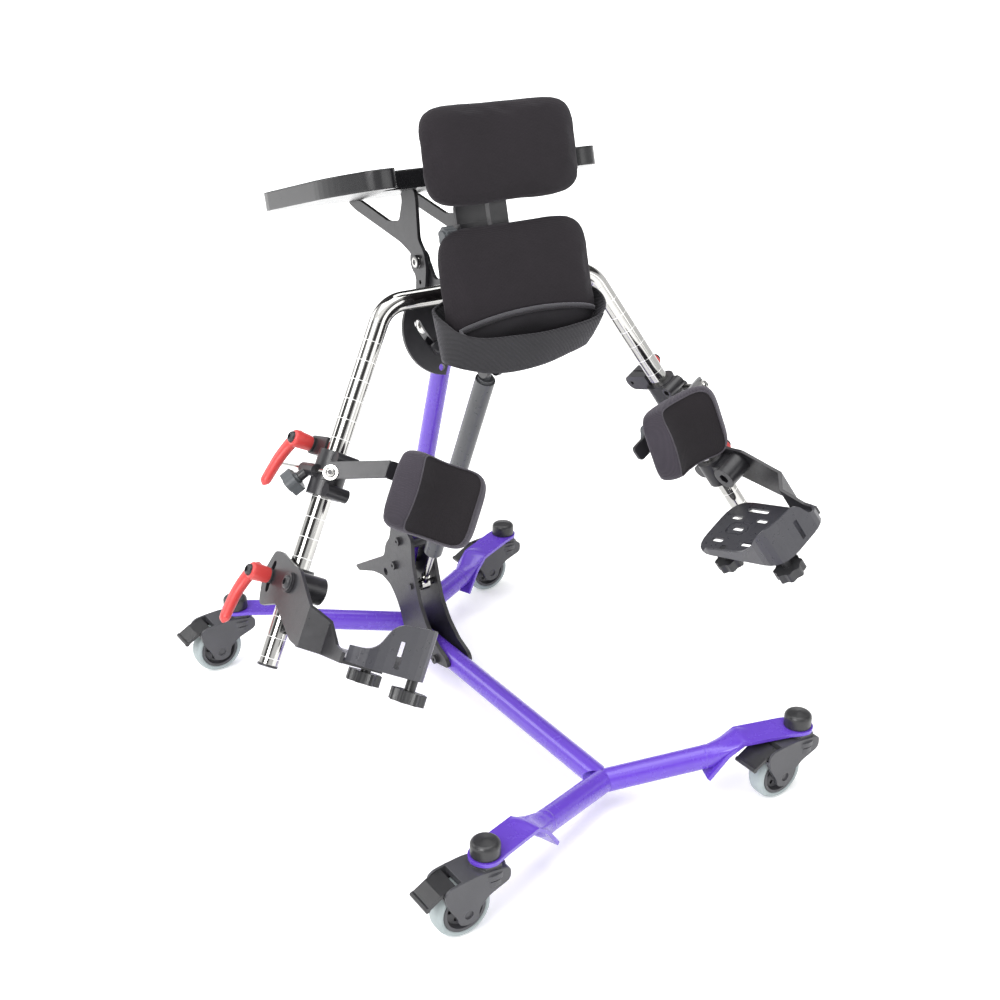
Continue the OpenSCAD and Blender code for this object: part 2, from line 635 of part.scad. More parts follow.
module tray_brackets() {
  t = tray_w;
  color(c_black) for (s = [0, 1]) mirror([s, 0, 0]) difference() {
    slab_x(tray_arm_u, tray_arm_t) {
      polygon(soft([[-32, 48], [-12, 49], [-8, 97], [17, 114], [135, t - 12], [154, t], [119, t],
        [43, t - 35], [12, t - 37], [-4, t - 12], [-4, t], [-41, t], [-41, t - 14],
        [-32, 114], [-43, 95], [-43, 75]], 6));
      translate(tray_piv) circle(r = 20);
    }
    rod_x(tray_pin_d + 2 * fit, tray_arm_u - eps, tray_arm_u + tray_arm_t + eps, tray_piv[0], tray_piv[1]);
    rod_x(6, tray_arm_u - eps, tray_arm_u + tray_arm_t + eps, -22, 58);
  }
}

// Legs, drawn for the left side; the right side is its mirror image
bend_a = 90 - splay;
tangent = bend_r * tan(bend_a / 2);
boss_d = leg_d + 8.6;
slot_play = 0.6;
// Short overlap that joins the stub to the bend
lap = 0.2;
// Solid length left in the tube below the bend
leg_core = 12;
module leg_stub() { rod_x(leg_d, -corner_u + tangent - lap, -leg_piv_u - leg_pin_d / 2 - 3, leg_n, leg_w); }
module leg_bend() {
  color(c_chrome) union() {
    leg_stub();
    translate([-corner_u + tangent, leg_n, leg_w - bend_r]) rotate([90, 0, 0]) rotate([0, 0, 90])
      rotate_extrude(angle = bend_a) translate([bend_r, 0]) circle(d = leg_d);
  }
}
module leg_tube() {
  color(c_chrome) leg_axis() difference() {
    rod_z(leg_d, -leg_len, -tangent);
    rod_z(leg_d - 2 * leg_wall, -leg_len - eps, -tangent - leg_core);
  }
}
// Hip joint boss, fan plate with its lock slot, and the end plug
module leg_fittings() {
  a0 = stud_a - leg_swing;
  slot_w = stud_d + 2 * slot_play;
  color(c_black) {
    difference() {
      union() {
        rod_y(boss_d, leg_n - leg_d / 2 - 1.5, back_n - gap, -leg_piv_u, leg_w);
        slab_y(fan_n, fan_t) polygon(concat(arc([-73, -1], 60, 134, 262, 24),
          [[-42, 20], [-leg_piv_u, leg_w - 15], [-leg_piv_u, leg_w + 8], [-80, leg_w + 8]]));
      }
      leg_stub();
      translate([-leg_piv_u, 0, leg_w]) rotate([90, 0, 0]) {
        rotate([0, 0, a0]) rotate_extrude(angle = leg_swing)
          translate([stud_r - slot_w / 2, -fan_n - fan_t - eps]) square([slot_w, fan_t + 2 * eps]);
        for (a = [a0, stud_a]) rotate([0, 0, a]) translate([stud_r, 0, -fan_n - fan_t - eps])
          cylinder(d = slot_w, h = fan_t + 2 * eps);
      }
      rod_y(9, fan_n - eps, fan_n + fan_t + eps, -85, -50);
    }
    rod_y(leg_pin_d, back_n - 4, back_n + back_t + 5, -leg_piv_u, leg_w);
    rod_y(leg_pin_d + 9, back_n + back_t + gap, back_n + back_t + 5, -leg_piv_u, leg_w);
    leg_axis() {
      rod_z(leg_d, -leg_len - 3, -leg_len);
      rod_z(leg_d - 2 * leg_wall - 2 * fit, -leg_len, -leg_len + 14);
    }
  }
}

// Knee clamp fittings, around the tube axis: x inward, y forward, z up the leg
lever_pin_d = 6;
lever_at = [47, 31];
lug_x = 13;
rod_at = [-22, -2];
// Clamp screw lugs behind the tube
lugs = [[-26, 18], [-27, -22]];
seat_at = [rod_at[0], 14, rod_at[1]];
seat_turn = [0, 145, 135];
seat_len = 15 + knee_od - 42 + (star_d - 34) / 2;
star_pin_d = 6;
// Share of the knob's axis that lies along the depth rod, and where its pin ends beside the rod
seat_skew = abs(sin(seat_turn[1]) * sin(seat_turn[2]));
star_from = (depth_d / 2 + gap + seat_skew * star_pin_d / 2) / sqrt(1 - seat_skew * seat_skew);
arm_back = -50;
arm_y = -90;
arm_x = [28, 146];
arm_z = 22;
knob_x = 103;
pad_slot = depth_d + 1.2;
pad_travel = [-15, 10];
module knee_clamp() {
  color(c_black) difference() {
    union() {
      rod_z(knee_od, -30, 27);
      for (p = lugs) {
        rod_x(17, -12, 18, p[0], p[1]);
        box([-11, p[0], p[1] - 8], [14, -12, p[1] + 8]);
      }
      box([-lug_x, 10, lever_at[1] - 12], [lug_x, lever_at[0], lever_at[1] + 12]);
      rod_x(24, -lug_x, lug_x, lever_at[0], lever_at[1]);
      rod_y(16, -10, 28, rod_at[0], rod_at[1]);
      translate(seat_at) rotate(seat_turn) cylinder(d = 13, h = seat_len);
    }
    rod_z(leg_d + 2 * fit, -60, 80);
    box([-1.5, 8, 12], [1.5, 80, 60]);
    rod_x(lever_pin_d + 2 * fit, -lug_x - eps, lug_x + eps, lever_at[0], lever_at[1]);
    rod_y(depth_d + 2 * fit, -20, 40, rod_at[0], rod_at[1]);
    translate(seat_at) rotate(seat_turn) cylinder(d = star_pin_d + 2 * fit, h = seat_len + eps);
    for (p = lugs) translate([13, p[0], p[1]]) rotate([0, 90, 0]) cylinder(d = 10, h = 8, $fn = 6);
  }
}
// Clamp lever: hub on a cross pin, and a grip that hangs down and leans outward
module lever(face, line, at, hub_len, lean) {
  color(c_red) difference() {
    union() {
      rod_x(22, face - hub_len, face - 3, at[0], at[1]);
      rod_x(18, face - 3, face, at[0], at[1]);
      translate([face - hub_len + 6, at[0], at[1]]) rotate([0, lean, 0])
        slab_x(-6, 12) polygon(soft(strip(line, 13), 6));
    }
    children();
  }
  color(c_black) difference() {
    rod_x(15, face - hub_len - 6, face - hub_len, at[0], at[1]);
    translate([face - hub_len - 7, at[0], at[1]]) rotate([0, 90, 0]) cylinder(d = 8, h = 4, $fn = 6);
  }
}
module knee_lever() {
  lever(-lug_x - gap, [[0, 4], [14, -3], [22, -28], [19, -68]], lever_at, 27, 15) rod_x(1, 90, 91);
  color(c_black) {
    rod_x(lever_pin_d, -lug_x - gap - 2, lug_x + gap + 2, lever_at[0], lever_at[1]);
    translate([lug_x + gap, lever_at[0], lever_at[1]]) rotate([0, 90, 0]) cylinder(d = 13, h = 6, $fn = 6);
  }
}
module knee_knob() {
  color(c_grey) translate(seat_at) rotate(seat_turn) {
    translate([0, 0, star_from]) cylinder(d = star_pin_d, h = seat_len - star_from + 2);
    translate([0, 0, seat_len + gap]) cylinder(d = 15, h = 4);
    translate([0, 0, seat_len + gap + 3]) lobes(star_d, 5, 14);
    translate([0, 0, seat_len + gap + 16]) cylinder(d = 18, h = 3);
  }
}
// Depth rod, and the cranked flat bar with its slotted cross bar
rod_end = 100;
module knee_rod() { color(c_chrome) rod_y(depth_d, arm_back, rod_end, rod_at[0], rod_at[1]); }
module knee_arm() {
  run = [arm_x[0] - rod_at[0], arm_y - arm_back];
  // Ends of the slot that the pad slides in
  ends = [knob_x + pad_travel[0] - 1, knob_x + pad_travel[1] + 1];
  color(c_black) difference() {
    union() {
      translate([rod_at[0], arm_back, 0]) rotate([0, 0, atan2(run[1], run[0])]) slab_y(-arm_t / 2, arm_t)
        polygon([[-9, rod_at[1] - arm_h / 2], [norm(run), arm_z - arm_h / 2], [norm(run), arm_z + arm_h / 2],
          [-9, rod_at[1] + arm_h / 2]]);
      slab_y(arm_y - arm_t / 2, arm_t) polygon(soft([[arm_x[0] - 2, arm_z - arm_h / 2],
        [arm_x[1], arm_z - arm_h / 2], [arm_x[1], arm_z + arm_h / 2], [arm_x[0] - 2, arm_z + arm_h / 2]], 6));
    }
    knee_rod();
    slab_y(arm_y - arm_t, 2 * arm_t) {
      polygon([for (x = ends) for (z = [-1, 1]) [x, arm_z + z * (x < knob_x ? 1 : -1) * pad_slot / 2]]);
      for (x = ends) translate([x, arm_z]) circle(d = pad_slot);
    }
  }
  color(c_chrome) {
    translate([rod_at[0], arm_back, rod_at[1]]) rotate([0, 0, atan2(run[1], run[0])]) {
      rod_y(18, -arm_t / 2 - 2, -arm_t / 2);
      rod_y(12, -arm_t / 2 - 5, -arm_t / 2 - 2);
    }
  }
}
knee_back = arm_y - arm_t / 2 - gap;
knee_t = 27;
knee_cup = 19;
knee_fall = 0.8;
module knee_pad() {
  color(c_pad) translate([knob_x - 21.5, knee_back, -1.5])
    cushion(knee_w, knee_h, knee_t, knee_cup, knee_fall);
}
module pad_knob() {
  front = arm_y + arm_t / 2 + gap;
  color(c_grey) {
    rod_y(depth_d, knee_back, front + 4, knob_x, arm_z);
    rod_y(20, front, front + 2, knob_x, arm_z);
    translate([knob_x, front + 1.5, arm_z]) rotate([-90, 0, 0]) {
      lobes(30, 5, 14);
      translate([0, 0, 13]) cylinder(d = 15, h = 3);
    }
  }
}

// Foot fittings, around the tube axis: x inward, y forward, z up the leg
ankle_y = -36;
ankle_pin_d = 16;
stud_y = 23;
foot_pin_d = 8;
flat_x = -17.6;
hanger_x = flat_x - gap - hanger_t;
lever_face = hanger_x - gap;
plate_x0 = 5;
plate_top = -59;
plate_y1 = -9;
plate_y0 = plate_y1 - plate_y;
plate_x1 = plate_x0 + plate_x;
wall_t = 3;
knob_a = [plate_x1 - 15, plate_y1 - 53];
knob_b = [plate_x1 - 18, plate_y0 + 17];
knob_pin_d = 6;
knob_head_d = knob_pin_d + 5;
head_pocket = 2;
knob_drop = 14;
jog_x = plate_x0 - hanger_t / 2;
module foot_clamp() {
  color(c_black) {
    difference() {
      union() {
        rod_z(clamp_od, -20, 20);
        rod_x(34, flat_x, 20, ankle_y, 0);
        box([flat_x, ankle_y, -15], [14, -8, 15]);
        box([flat_x, 8, -11], [12, stud_y, 11]);
        rod_x(22, flat_x, 12, stud_y, 0);
      }
      rod_z(leg_d + 2 * fit, -40, 40);
      box([-clamp_od, -80, -60], [flat_x, 80, 60]);
      box([-1.5, 8, -30], [1.5, 50, 30]);
      translate([14, ankle_y, 0]) rotate([0, 90, 0]) cylinder(d = 16, h = 8, $fn = 6);
    }
    rod_x(ankle_pin_d, hanger_x - gap, flat_x + 6, ankle_y, 0);
    rod_x(ankle_pin_d + 8, hanger_x - gap - 4, hanger_x - gap, ankle_y, 0);
    rod_x(foot_pin_d, lever_face - 20, flat_x + 6, stud_y, 0);
  }
}
module foot_lever() {
  lever(lever_face, [[0, 4], [14, -2], [20, -30], [7, -72]], [stud_y, 0], 27, 14)
    rod_x(foot_pin_d + 2 * fit, lever_face - 20.5, lever_face + eps, stud_y, 0);
}
module foot_hanger() {
  r = stud_y - ankle_y;
  slot_w = foot_pin_d + 2 * slot_play;
  low = plate_top - plate_t;
  color(c_black) {
    difference() {
      union() {
        slab_x(hanger_x, hanger_t) {
          polygon(soft([[14, 33], [31, 31], [47, 1], [33, -32], [25, -37], [-15, -29], [-82, low],
            [-107, low - 4],
            [-107, -17], [-97, -11], [-51, 19], [-30, 22]], 5));
          translate([ankle_y, 0]) circle(r = 21);
        }
        // Jog inward and the rail beside the footplate
        intersection() {
          translate([0, 0, low - 4]) linear_extrude(60) polygon(strip([[hanger_x + hanger_t / 2, -100],
            [hanger_x + hanger_t / 2, -106], [jog_x, -121], [jog_x, -172]], hanger_t));
          slab_x(-50, 100) polygon([[-101, low - 5], [-101, -13.6], [-107, -17], [-152, -49], [-172, -54],
            [-172, low - 5]]);
        }
        // Ledge under the footplate
        box([jog_x - hanger_t / 2, -168, low - 4], [plate_x0 + 55, -121, low]);
      }
      rod_x(ankle_pin_d + 2 * fit, hanger_x - eps, hanger_x + hanger_t + eps, ankle_y, 0);
      translate([hanger_x - eps, ankle_y, 0]) rotate([90, 0, 90]) {
        rotate([0, 0, -ankle_a]) rotate_extrude(angle = 2 * ankle_a) translate([r - slot_w / 2, 0])
          square([slot_w, hanger_t + 2 * eps]);
        for (a = [-1, 1]) rotate([0, 0, a * ankle_a]) translate([r, 0, 0])
          cylinder(d = slot_w, h = hanger_t + 2 * eps);
      }
    }
  }
}
function plate_outline(i) = soft([[plate_x0 + i, plate_y1 - i], [plate_x1 - i, plate_y1 - i],
  [plate_x1 - i, plate_y0 + i], [plate_x0 + i, plate_y0 + i]], 38 - i, 6);
module stadium(c, run, d, h) {
  translate(c) for (s = [-1, 1]) translate([0, s * run / 2, 0]) cylinder(d = d, h = h);
  translate(c) translate([-d / 2, -run / 2, 0]) cube([d, run, h]);
}
module foot_plate() {
  low = plate_top - plate_t;
  mid = (plate_x0 + plate_x1) / 2;
  color(c_black) difference() {
    union() {
      translate([0, 0, low]) linear_extrude(plate_t) polygon(plate_outline(0));
      // Heel wall that wraps the heel and falls along the inner side
      intersection() {
        translate([0, 0, low]) difference() {
          linear_extrude(heel_h + plate_t) polygon(plate_outline(0));
          translate([0, 0, plate_t]) linear_extrude(heel_h + eps) polygon(plate_outline(wall_t));
        }
        slab_x(plate_x0 - 1, plate_x + 2) polygon(soft([[plate_y0 - 9, low - 9],
          [plate_y0 - 9, plate_top + heel_h + 9],
          [plate_y0 + 22, plate_top + heel_h - 6], [plate_y0 + 38, plate_top + heel_h * 0.6],
          [plate_y0 + 72, plate_top + 15], [plate_y1 - 28, plate_top + 8], [plate_y1 - 20, low - 9]], 14, 5));
        slab_y(plate_y0 - 1, plate_y + 2) polygon(soft([[plate_x0 - 9, low - 9],
          [plate_x0 - 9, plate_top + 14], [plate_x0 + 24, plate_top + 18],
          [plate_x0 + 40, plate_top + heel_h - 4], [plate_x1 + 9, plate_top + heel_h + 3],
          [plate_x1 + 9, low - 9]], 14, 5));
      }
    }
    box([plate_x0 - 1, plate_y0 + 24, plate_top], [plate_x0 + 8, plate_y1, plate_top + heel_h]);
    // Upright slot in the heel wall, clear of the floor that the foot stands on
    box([mid - 3.5, plate_y0 - 1, plate_top + 4],
      [mid + 3.5, plate_y0 + wall_t + 1, plate_top + heel_h * 0.62]);
    // Knob holes, with pockets that keep the knobs' heads below the floor
    for (p = [knob_a, knob_b]) {
      rod_z(knob_pin_d + 2 * fit, low - eps, plate_top + eps, p[0], p[1]);
      rod_z(knob_head_d + 2 * gap, plate_top - head_pocket, plate_top + eps, p[0], p[1]);
    }
    for (p = [[33, -30], [33, -82], [80, -30], [80, -90]])
      stadium([plate_x0 + p[0], plate_y1 + p[1], low - eps], 16, 7, plate_t + 2 * eps);
    stadium([plate_x0 + 15, plate_y1 - 60, low - eps], 36, 7, plate_t + 2 * eps);
    translate([0, 0, plate_top - 1]) difference() {
      stadium([mid, plate_y1 - 50, 0], 18, 26, 2);
      stadium([mid, plate_y1 - 50, -1], 18, 18, 4);
    }
    stadium([mid, plate_y1 - 50, low - eps], 16, 7, plate_t + 2 * eps);
  }
}
module wavy_knob(p) {
  low = plate_top - plate_t - gap;
  color(c_black) {
    rod_z(knob_pin_d, low - knob_drop, plate_top - 2 * gap, p[0], p[1]);
    rod_z(knob_head_d, plate_top - head_pocket + gap, plate_top - gap, p[0], p[1]);
    rod_z(knob_pin_d + 7, low - knob_drop, low, p[0], p[1]);
    translate([p[0], p[1], low - knob_drop - 13]) lobes(wavy_d, 8, 14);
  }
}
module foot_knob_a() { wavy_knob(knob_a); }
module foot_knob_b() { wavy_knob(knob_b); }

spine_tube();
front_bar(-1);  // front_bar_left
front_bar(1);  // front_bar_right
rear_bar(-1);  // rear_bar_left
rear_bar(1);  // rear_bar_right
caster_caps();
bracket_plates();
main_column();
at_stem(-1, 1) caster_fork();  // caster_fork_fl
at_stem(1, 1) caster_fork();  // caster_fork_fr
at_stem(-1, -1) caster_fork();  // caster_fork_rl
at_stem(1, -1) caster_fork();  // caster_fork_rr
at_stem(-1, 1) caster_tyre();  // caster_tyre_fl
at_stem(1, 1) caster_tyre();  // caster_tyre_fr
at_stem(-1, -1) caster_tyre();  // caster_tyre_rl
at_stem(1, -1) caster_tyre();  // caster_tyre_rr
at_stem(-1, 1) caster_hub();  // caster_hub_fl
at_stem(1, 1) caster_hub();  // caster_hub_fr
at_stem(-1, -1) caster_hub();  // caster_hub_rl
at_stem(1, -1) caster_hub();  // caster_hub_rr
at_stem(-1, 1) caster_brake();  // caster_brake_fl
at_stem(1, 1) caster_brake();  // caster_brake_fr
at_stem(-1, -1) caster_brake();  // caster_brake_rl
at_stem(1, -1) caster_brake();  // caster_brake_rr
gas_spring_cylinder();
gas_spring_rod();
carriage() carriage_head();
carriage() hip_pad();
carriage() hip_pouch();
carriage() chest_slider();
carriage() chest_pad();
carriage() chest_knob();
carriage() tray_brackets();
carriage() tray();
left() leg_bend();  // left_leg_bend
left() leg_tube();  // left_leg_tube
left() leg_fittings();  // left_leg_fittings
left() knee() knee_clamp();  // left_knee_clamp
left() knee() knee_lever();  // left_knee_lever
left() knee() knee_knob();  // left_knee_knob
left() knee() knee_rod();  // left_knee_rod
left() knee() knee_arm();  // left_knee_arm
left() knee() knee_pad();  // left_knee_pad
left() knee() pad_knob();  // left_pad_knob
left() foot() foot_clamp();  // left_foot_clamp
left() foot() foot_lever();  // left_foot_lever
left() foot() foot_hanger();  // left_foot_hanger
left() foot() foot_plate();  // left_foot_plate
left() foot() foot_knob_a();  // left_foot_knob_a
left() foot() foot_knob_b();  // left_foot_knob_b
right() leg_bend();  // right_leg_bend
right() leg_tube();  // right_leg_tube
right() leg_fittings();  // right_leg_fittings
right() knee() knee_clamp();  // right_knee_clamp
right() knee() knee_lever();  // right_knee_lever
right() knee() knee_knob();  // right_knee_knob
right() knee() knee_rod();  // right_knee_rod
right() knee() knee_arm();  // right_knee_arm
right() knee() knee_pad();  // right_knee_pad
right() knee() pad_knob();  // right_pad_knob
right() foot() foot_clamp();  // right_foot_clamp
right() foot() foot_lever();  // right_foot_lever
right() foot() foot_hanger();  // right_foot_hanger
right() foot() foot_plate();  // right_foot_plate
right() foot() foot_knob_a();  // right_foot_knob_a
right() foot() foot_knob_b();  // right_foot_knob_b
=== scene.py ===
"""Looks of the standing frame: materials, soft pads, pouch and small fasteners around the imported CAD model.

Metres, +Z up, the CAD model's own frame. Local sizes below are in millimetres, as in the part's source.
"""
import json
from math import atan2, cos, pi, radians, sin

import bmesh
import bpy
from mathutils import Matrix, Vector


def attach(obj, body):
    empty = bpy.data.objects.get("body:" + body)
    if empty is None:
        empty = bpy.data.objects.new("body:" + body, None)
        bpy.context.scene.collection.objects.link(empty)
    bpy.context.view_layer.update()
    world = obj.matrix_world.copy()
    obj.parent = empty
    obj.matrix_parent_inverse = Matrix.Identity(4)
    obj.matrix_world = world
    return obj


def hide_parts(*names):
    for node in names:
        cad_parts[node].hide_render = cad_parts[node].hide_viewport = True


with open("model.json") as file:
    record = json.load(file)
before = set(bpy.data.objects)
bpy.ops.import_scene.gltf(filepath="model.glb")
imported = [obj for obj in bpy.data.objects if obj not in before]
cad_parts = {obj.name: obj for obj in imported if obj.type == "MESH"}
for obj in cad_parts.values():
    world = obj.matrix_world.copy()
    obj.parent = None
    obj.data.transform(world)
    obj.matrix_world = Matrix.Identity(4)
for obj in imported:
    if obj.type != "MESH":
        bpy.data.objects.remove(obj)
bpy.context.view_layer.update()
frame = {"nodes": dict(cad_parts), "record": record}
nodes = frame["nodes"]
scene = bpy.context.scene

MM = 0.001
UP_Z = Vector((0, 0, 1))
TILT = 15
SPLAY = 30
SIDES = {"left": -1, "right": 1}
CORNERS = {"fl": (-1, 1), "fr": (1, 1), "rl": (-1, -1), "rr": (1, -1)}
PAD_BACK, HIP_LOW = -168, -35
KNEE_Z, FOOT_Z = -222, -363


def shift(x, y, z):
    return Matrix.Translation((x * MM, y * MM, z * MM))


def turn(degrees, axis):
    return Matrix.Rotation(radians(degrees), 4, axis)


# Axes of the tilting carriage, and of the left leg on it, as in the part's source
CARRIAGE = shift(0, 120, 580) @ turn(-TILT, "X")
LEFT_LEG = shift(-158.5, -122, 42) @ turn(SPLAY, "Y")
MIRROR = Matrix.Diagonal((-1, 1, 1, 1))


def leg(side, z=0):
    """Axes of one leg at a distance z along its tube: x inward, y forward, z up the leg."""
    flip = MIRROR if side == "right" else Matrix.Identity(4)
    return CARRIAGE @ flip @ LEFT_LEG @ shift(0, 0, z)


def add_object(name, data, place=None):
    obj = bpy.data.objects.new(name, data)
    if place is not None:
        obj.matrix_world = place
    scene.collection.objects.link(obj)
    return obj


# Camera, light and floor
CAM_AT = (-0.9627, -1.4664, 1.1293)
CAM_YAW, CAM_PITCH, CAM_ROLL = radians(33.449), radians(23.873), radians(0.261)
CAM_LENS, CAM_SENSOR = 50.04, 36
# Area lights: name, place, the point each one faces, the lengths of its sides, power
LIGHTS = [
    ("overhead", (0.1, 0.2, 3.2), (0, 0, 0.3), (3.0, 3.0), 56),
    ("key", (-2.4, -1.2, 2.2), (0, 0, 0.5), (1.2, 1.8), 62),
    ("fill", (1.4, -3.0, 1.5), (0, 0, 0.5), (1.8, 1.4), 14),
    ("rim", (-2.0, 2.5, 2.2), (0, 0, 0.6), (2.0, 1.2), 30),
]
PANEL_POWER, PANEL_ANGLE, PANEL_TURN = 0.9, radians(70), turn(-18, "Y") @ turn(12, "X")
# Brightness of the surroundings from the horizon up to the zenith: a white wall, a dark band that gives the chrome
# and the paint their contrast, and a pale ceiling
SKY_STRENGTH, SKY_BLUE = 1.0, 1.01
SKY_STOPS = [(0.0, 1.0), (0.34, 1.0), (0.4, 0.07), (0.55, 0.07), (0.66, 0.62), (1.0, 0.7)]
FLOOR_HALF, FLOOR_ROUGH = 80, 0.9
FLOOR_TONES = [(0.3, (0.93, 0.93, 0.93)), (0.7, (0.95, 0.95, 0.95))]
GLOW_SPAN, GLOW = (0.3, 2.5), (0.22, 0.9)


def make_camera():
    data = bpy.data.cameras.new("camera")
    data.lens, data.sensor_width, data.sensor_height = CAM_LENS, CAM_SENSOR, CAM_SENSOR
    data.sensor_fit = "HORIZONTAL"
    look = Vector((sin(CAM_YAW) * cos(CAM_PITCH), cos(CAM_YAW) * cos(CAM_PITCH), -sin(CAM_PITCH)))
    flat = Vector((cos(CAM_YAW), -sin(CAM_YAW), 0))
    up = flat.cross(look)
    across = flat * cos(CAM_ROLL) + up * sin(CAM_ROLL)
    upward = up * cos(CAM_ROLL) - flat * sin(CAM_ROLL)
    axes = Matrix((across, upward, -look)).transposed().to_4x4()
    scene.camera = add_object("camera", data, Matrix.Translation(CAM_AT) @ axes)


def area_light(name, at, aim, sides, power):
    data = bpy.data.lights.new(name, "AREA")
    data.shape, data.energy = "RECTANGLE", power
    data.size, data.size_y = sides
    facing = (Vector(aim) - Vector(at)).to_track_quat("-Z", "Y").to_matrix().to_4x4()
    add_object(name, data, Matrix.Translation(at) @ facing)


def make_studio():
    for row in LIGHTS:
        area_light(*row)
    sun = bpy.data.lights.new("sky_panel", "SUN")
    sun.energy, sun.angle = PANEL_POWER, PANEL_ANGLE
    add_object("sky_panel", sun, PANEL_TURN)
    world = bpy.data.worlds.new("studio")
    scene.world = world
    world.use_nodes = True
    tree = world.node_tree
    back = tree.nodes["Background"]
    back.inputs["Strength"].default_value = SKY_STRENGTH
    coord = tree.nodes.new("ShaderNodeTexCoord")
    split = tree.nodes.new("ShaderNodeSeparateXYZ")
    ramp = tree.nodes.new("ShaderNodeValToRGB")
    tree.links.new(coord.outputs["Generated"], split.inputs[0])
    tree.links.new(split.outputs["Z"], ramp.inputs[0])
    tree.links.new(ramp.outputs[0], back.inputs["Color"])
    fill_ramp(ramp.color_ramp, [(place, (v, v, v * SKY_BLUE)) for place, v in SKY_STOPS])
    scene.view_settings.view_transform = "Standard"


def fill_ramp(ramp, stops):
    while len(ramp.elements) < len(stops):
        ramp.elements.new(0.5)
    for element, (place, rgb) in zip(ramp.elements, stops):
        element.position, element.color = place, (*rgb, 1)


def make_floor():
    bm = bmesh.new()
    bmesh.ops.create_grid(bm, x_segments=8, y_segments=8, size=FLOOR_HALF)
    mesh = bpy.data.meshes.new("floor")
    bm.to_mesh(mesh)
    bm.free()
    floor = add_object("floor", mesh)
    mesh.materials.append(white_floor())


def white_floor():
    """Matt white that glows more the farther it lies from the object, as a lit studio sweep does."""
    s = Shader("floor_white")
    s.link(s.ramp(s.noise(3), FLOOR_TONES), s.out.inputs["Base Color"])
    s.out.inputs["Roughness"].default_value = FLOOR_ROUGH
    s.out.inputs["Emission Color"].default_value = (1, 1, 1, 1)
    far = s.new("ShaderNodeVectorMath", operation="LENGTH")
    s.link(s.place, far.inputs[0])
    s.link(s.remap(far.outputs["Value"], *GLOW_SPAN, *GLOW), s.out.inputs["Emission Strength"])
    return s.material


# Materials
COAT_ROUGH = 0.08
# Lighter rounded edges: partly wear, partly a painted highlight where edges would catch the light
EDGE_COSINES, EDGE_PATCH_SCALE, WEAR_AND_HIGHLIGHT_LIGHTER = (0.97, 0.8), 140, 2.2
ROUGH_SPREAD = (0.82, 1.2)
GRAIN_DEPTH, WEAVE_DEPTH = 0.0004, 0.0005
SHEEN_ROUGH, SHEEN_TINT, CLOTH_SPECULAR = 0.45, (0.75, 0.72, 0.8, 1), 0.3
WARP = (0.8, 0.6, 0)
WEFT = (0, sin(radians(TILT)) - 0.35, cos(radians(TILT)))
FUZZ_SCALE, FUZZ_SHARE = 1400, 0.6
TONE_SCALE, TONE_SHARE, WEAVE_SHARE = 14, 0.7, 0.22
BLACK = (0.02, 0.0195, 0.022)
RED = (0.52, 0.045, 0.043)
CHROME = (0.5, 0.495, 0.475)
RING_STEP, RING_WIDTH, RINGS_FROM = 25.4, 0.5, 45
RING_TINT, RING_ROUGH = (0.92, 0.92, 0.9), 0.4


class Shader:
    """A Principled material whose colour, roughness and normal come from noise in the object's own coordinates."""

    def __init__(self, name):
        self.material = bpy.data.materials.new(name)
        self.material.use_nodes = True
        self.tree = self.material.node_tree
        self.out = self.tree.nodes["Principled BSDF"]
        self.place = self.new("ShaderNodeTexCoord").outputs["Object"]

    def new(self, kind, **values):
        node = self.tree.nodes.new(kind)
        for key, value in values.items():
            setattr(node, key, value)
        return node

    def link(self, source, target):
        self.tree.links.new(source, target)

    def noise(self, scale, detail=3, rough=0.55):
        node = self.new("ShaderNodeTexNoise")
        node.inputs["Scale"].default_value = scale
        node.inputs["Detail"].default_value = detail
        node.inputs["Roughness"].default_value = rough
        self.link(self.place, node.inputs["Vector"])
        return node.outputs["Fac"]

    def ramp(self, source, stops):
        node = self.new("ShaderNodeValToRGB")
        fill_ramp(node.color_ramp, stops)
        self.link(source, node.inputs[0])
        return node.outputs[0]

    def remap(self, source, low, high, to_low, to_high):
        node = self.new("ShaderNodeMapRange")
        for socket, value in zip(node.inputs[1:5], (low, high, to_low, to_high)):
            socket.default_value = value
        self.link(source, node.inputs[0])
        return node.outputs[0]

    def math(self, operation, a, b=None):
        node = self.new("ShaderNodeMath", operation=operation)
        for socket, value in zip(node.inputs, (a, b)):
            if isinstance(value, (int, float)):
                socket.default_value = value
            elif value is not None:
                self.link(value, socket)
        return node.outputs[0]

    def along(self, start, axis):
        """Distance of the surface point from start along axis, in metres."""
        node = self.new("ShaderNodeVectorMath", operation="DOT_PRODUCT")
        node.inputs[1].default_value = axis
        self.link(self.place, node.inputs[0])
        return self.math("SUBTRACT", node.outputs["Value"], Vector(start).dot(Vector(axis)))

    def mix(self, share, a, b):
        node = self.new("ShaderNodeMix", data_type="RGBA")
        colours = [socket for socket in node.inputs if socket.type == "RGBA"]
        for socket, value in zip(colours, (a, b)):
            if isinstance(value, tuple):
                socket.default_value = (*value, 1)
            else:
                self.link(value, socket)
        self.link(share, node.inputs[0])
        return next(socket for socket in node.outputs if socket.type == "RGBA")

    def bevel(self, radius):
        node = self.new("ShaderNodeBevel", samples=4)
        node.inputs["Radius"].default_value = radius
        return node.outputs["Normal"]

    def bump(self, height, strength, distance, normal=None):
        node = self.new("ShaderNodeBump")
        node.inputs["Strength"].default_value = strength
        node.inputs["Distance"].default_value = distance
        self.link(height, node.inputs["Height"])
        if normal is not None:
            self.link(normal, node.inputs["Normal"])
        return node.outputs["Normal"]

    def edge(self, normal):
        """1 on edges lightened for wear and a painted highlight, 0 on flats: how far the rounded normal leaves the
        true one.
        """
        node = self.new("ShaderNodeVectorMath", operation="DOT_PRODUCT")
        self.link(normal, node.inputs[0])
        self.link(self.new("ShaderNodeNewGeometry").outputs["Normal"], node.inputs[1])
        return self.remap(node.outputs["Value"], *EDGE_COSINES, 0, 1)


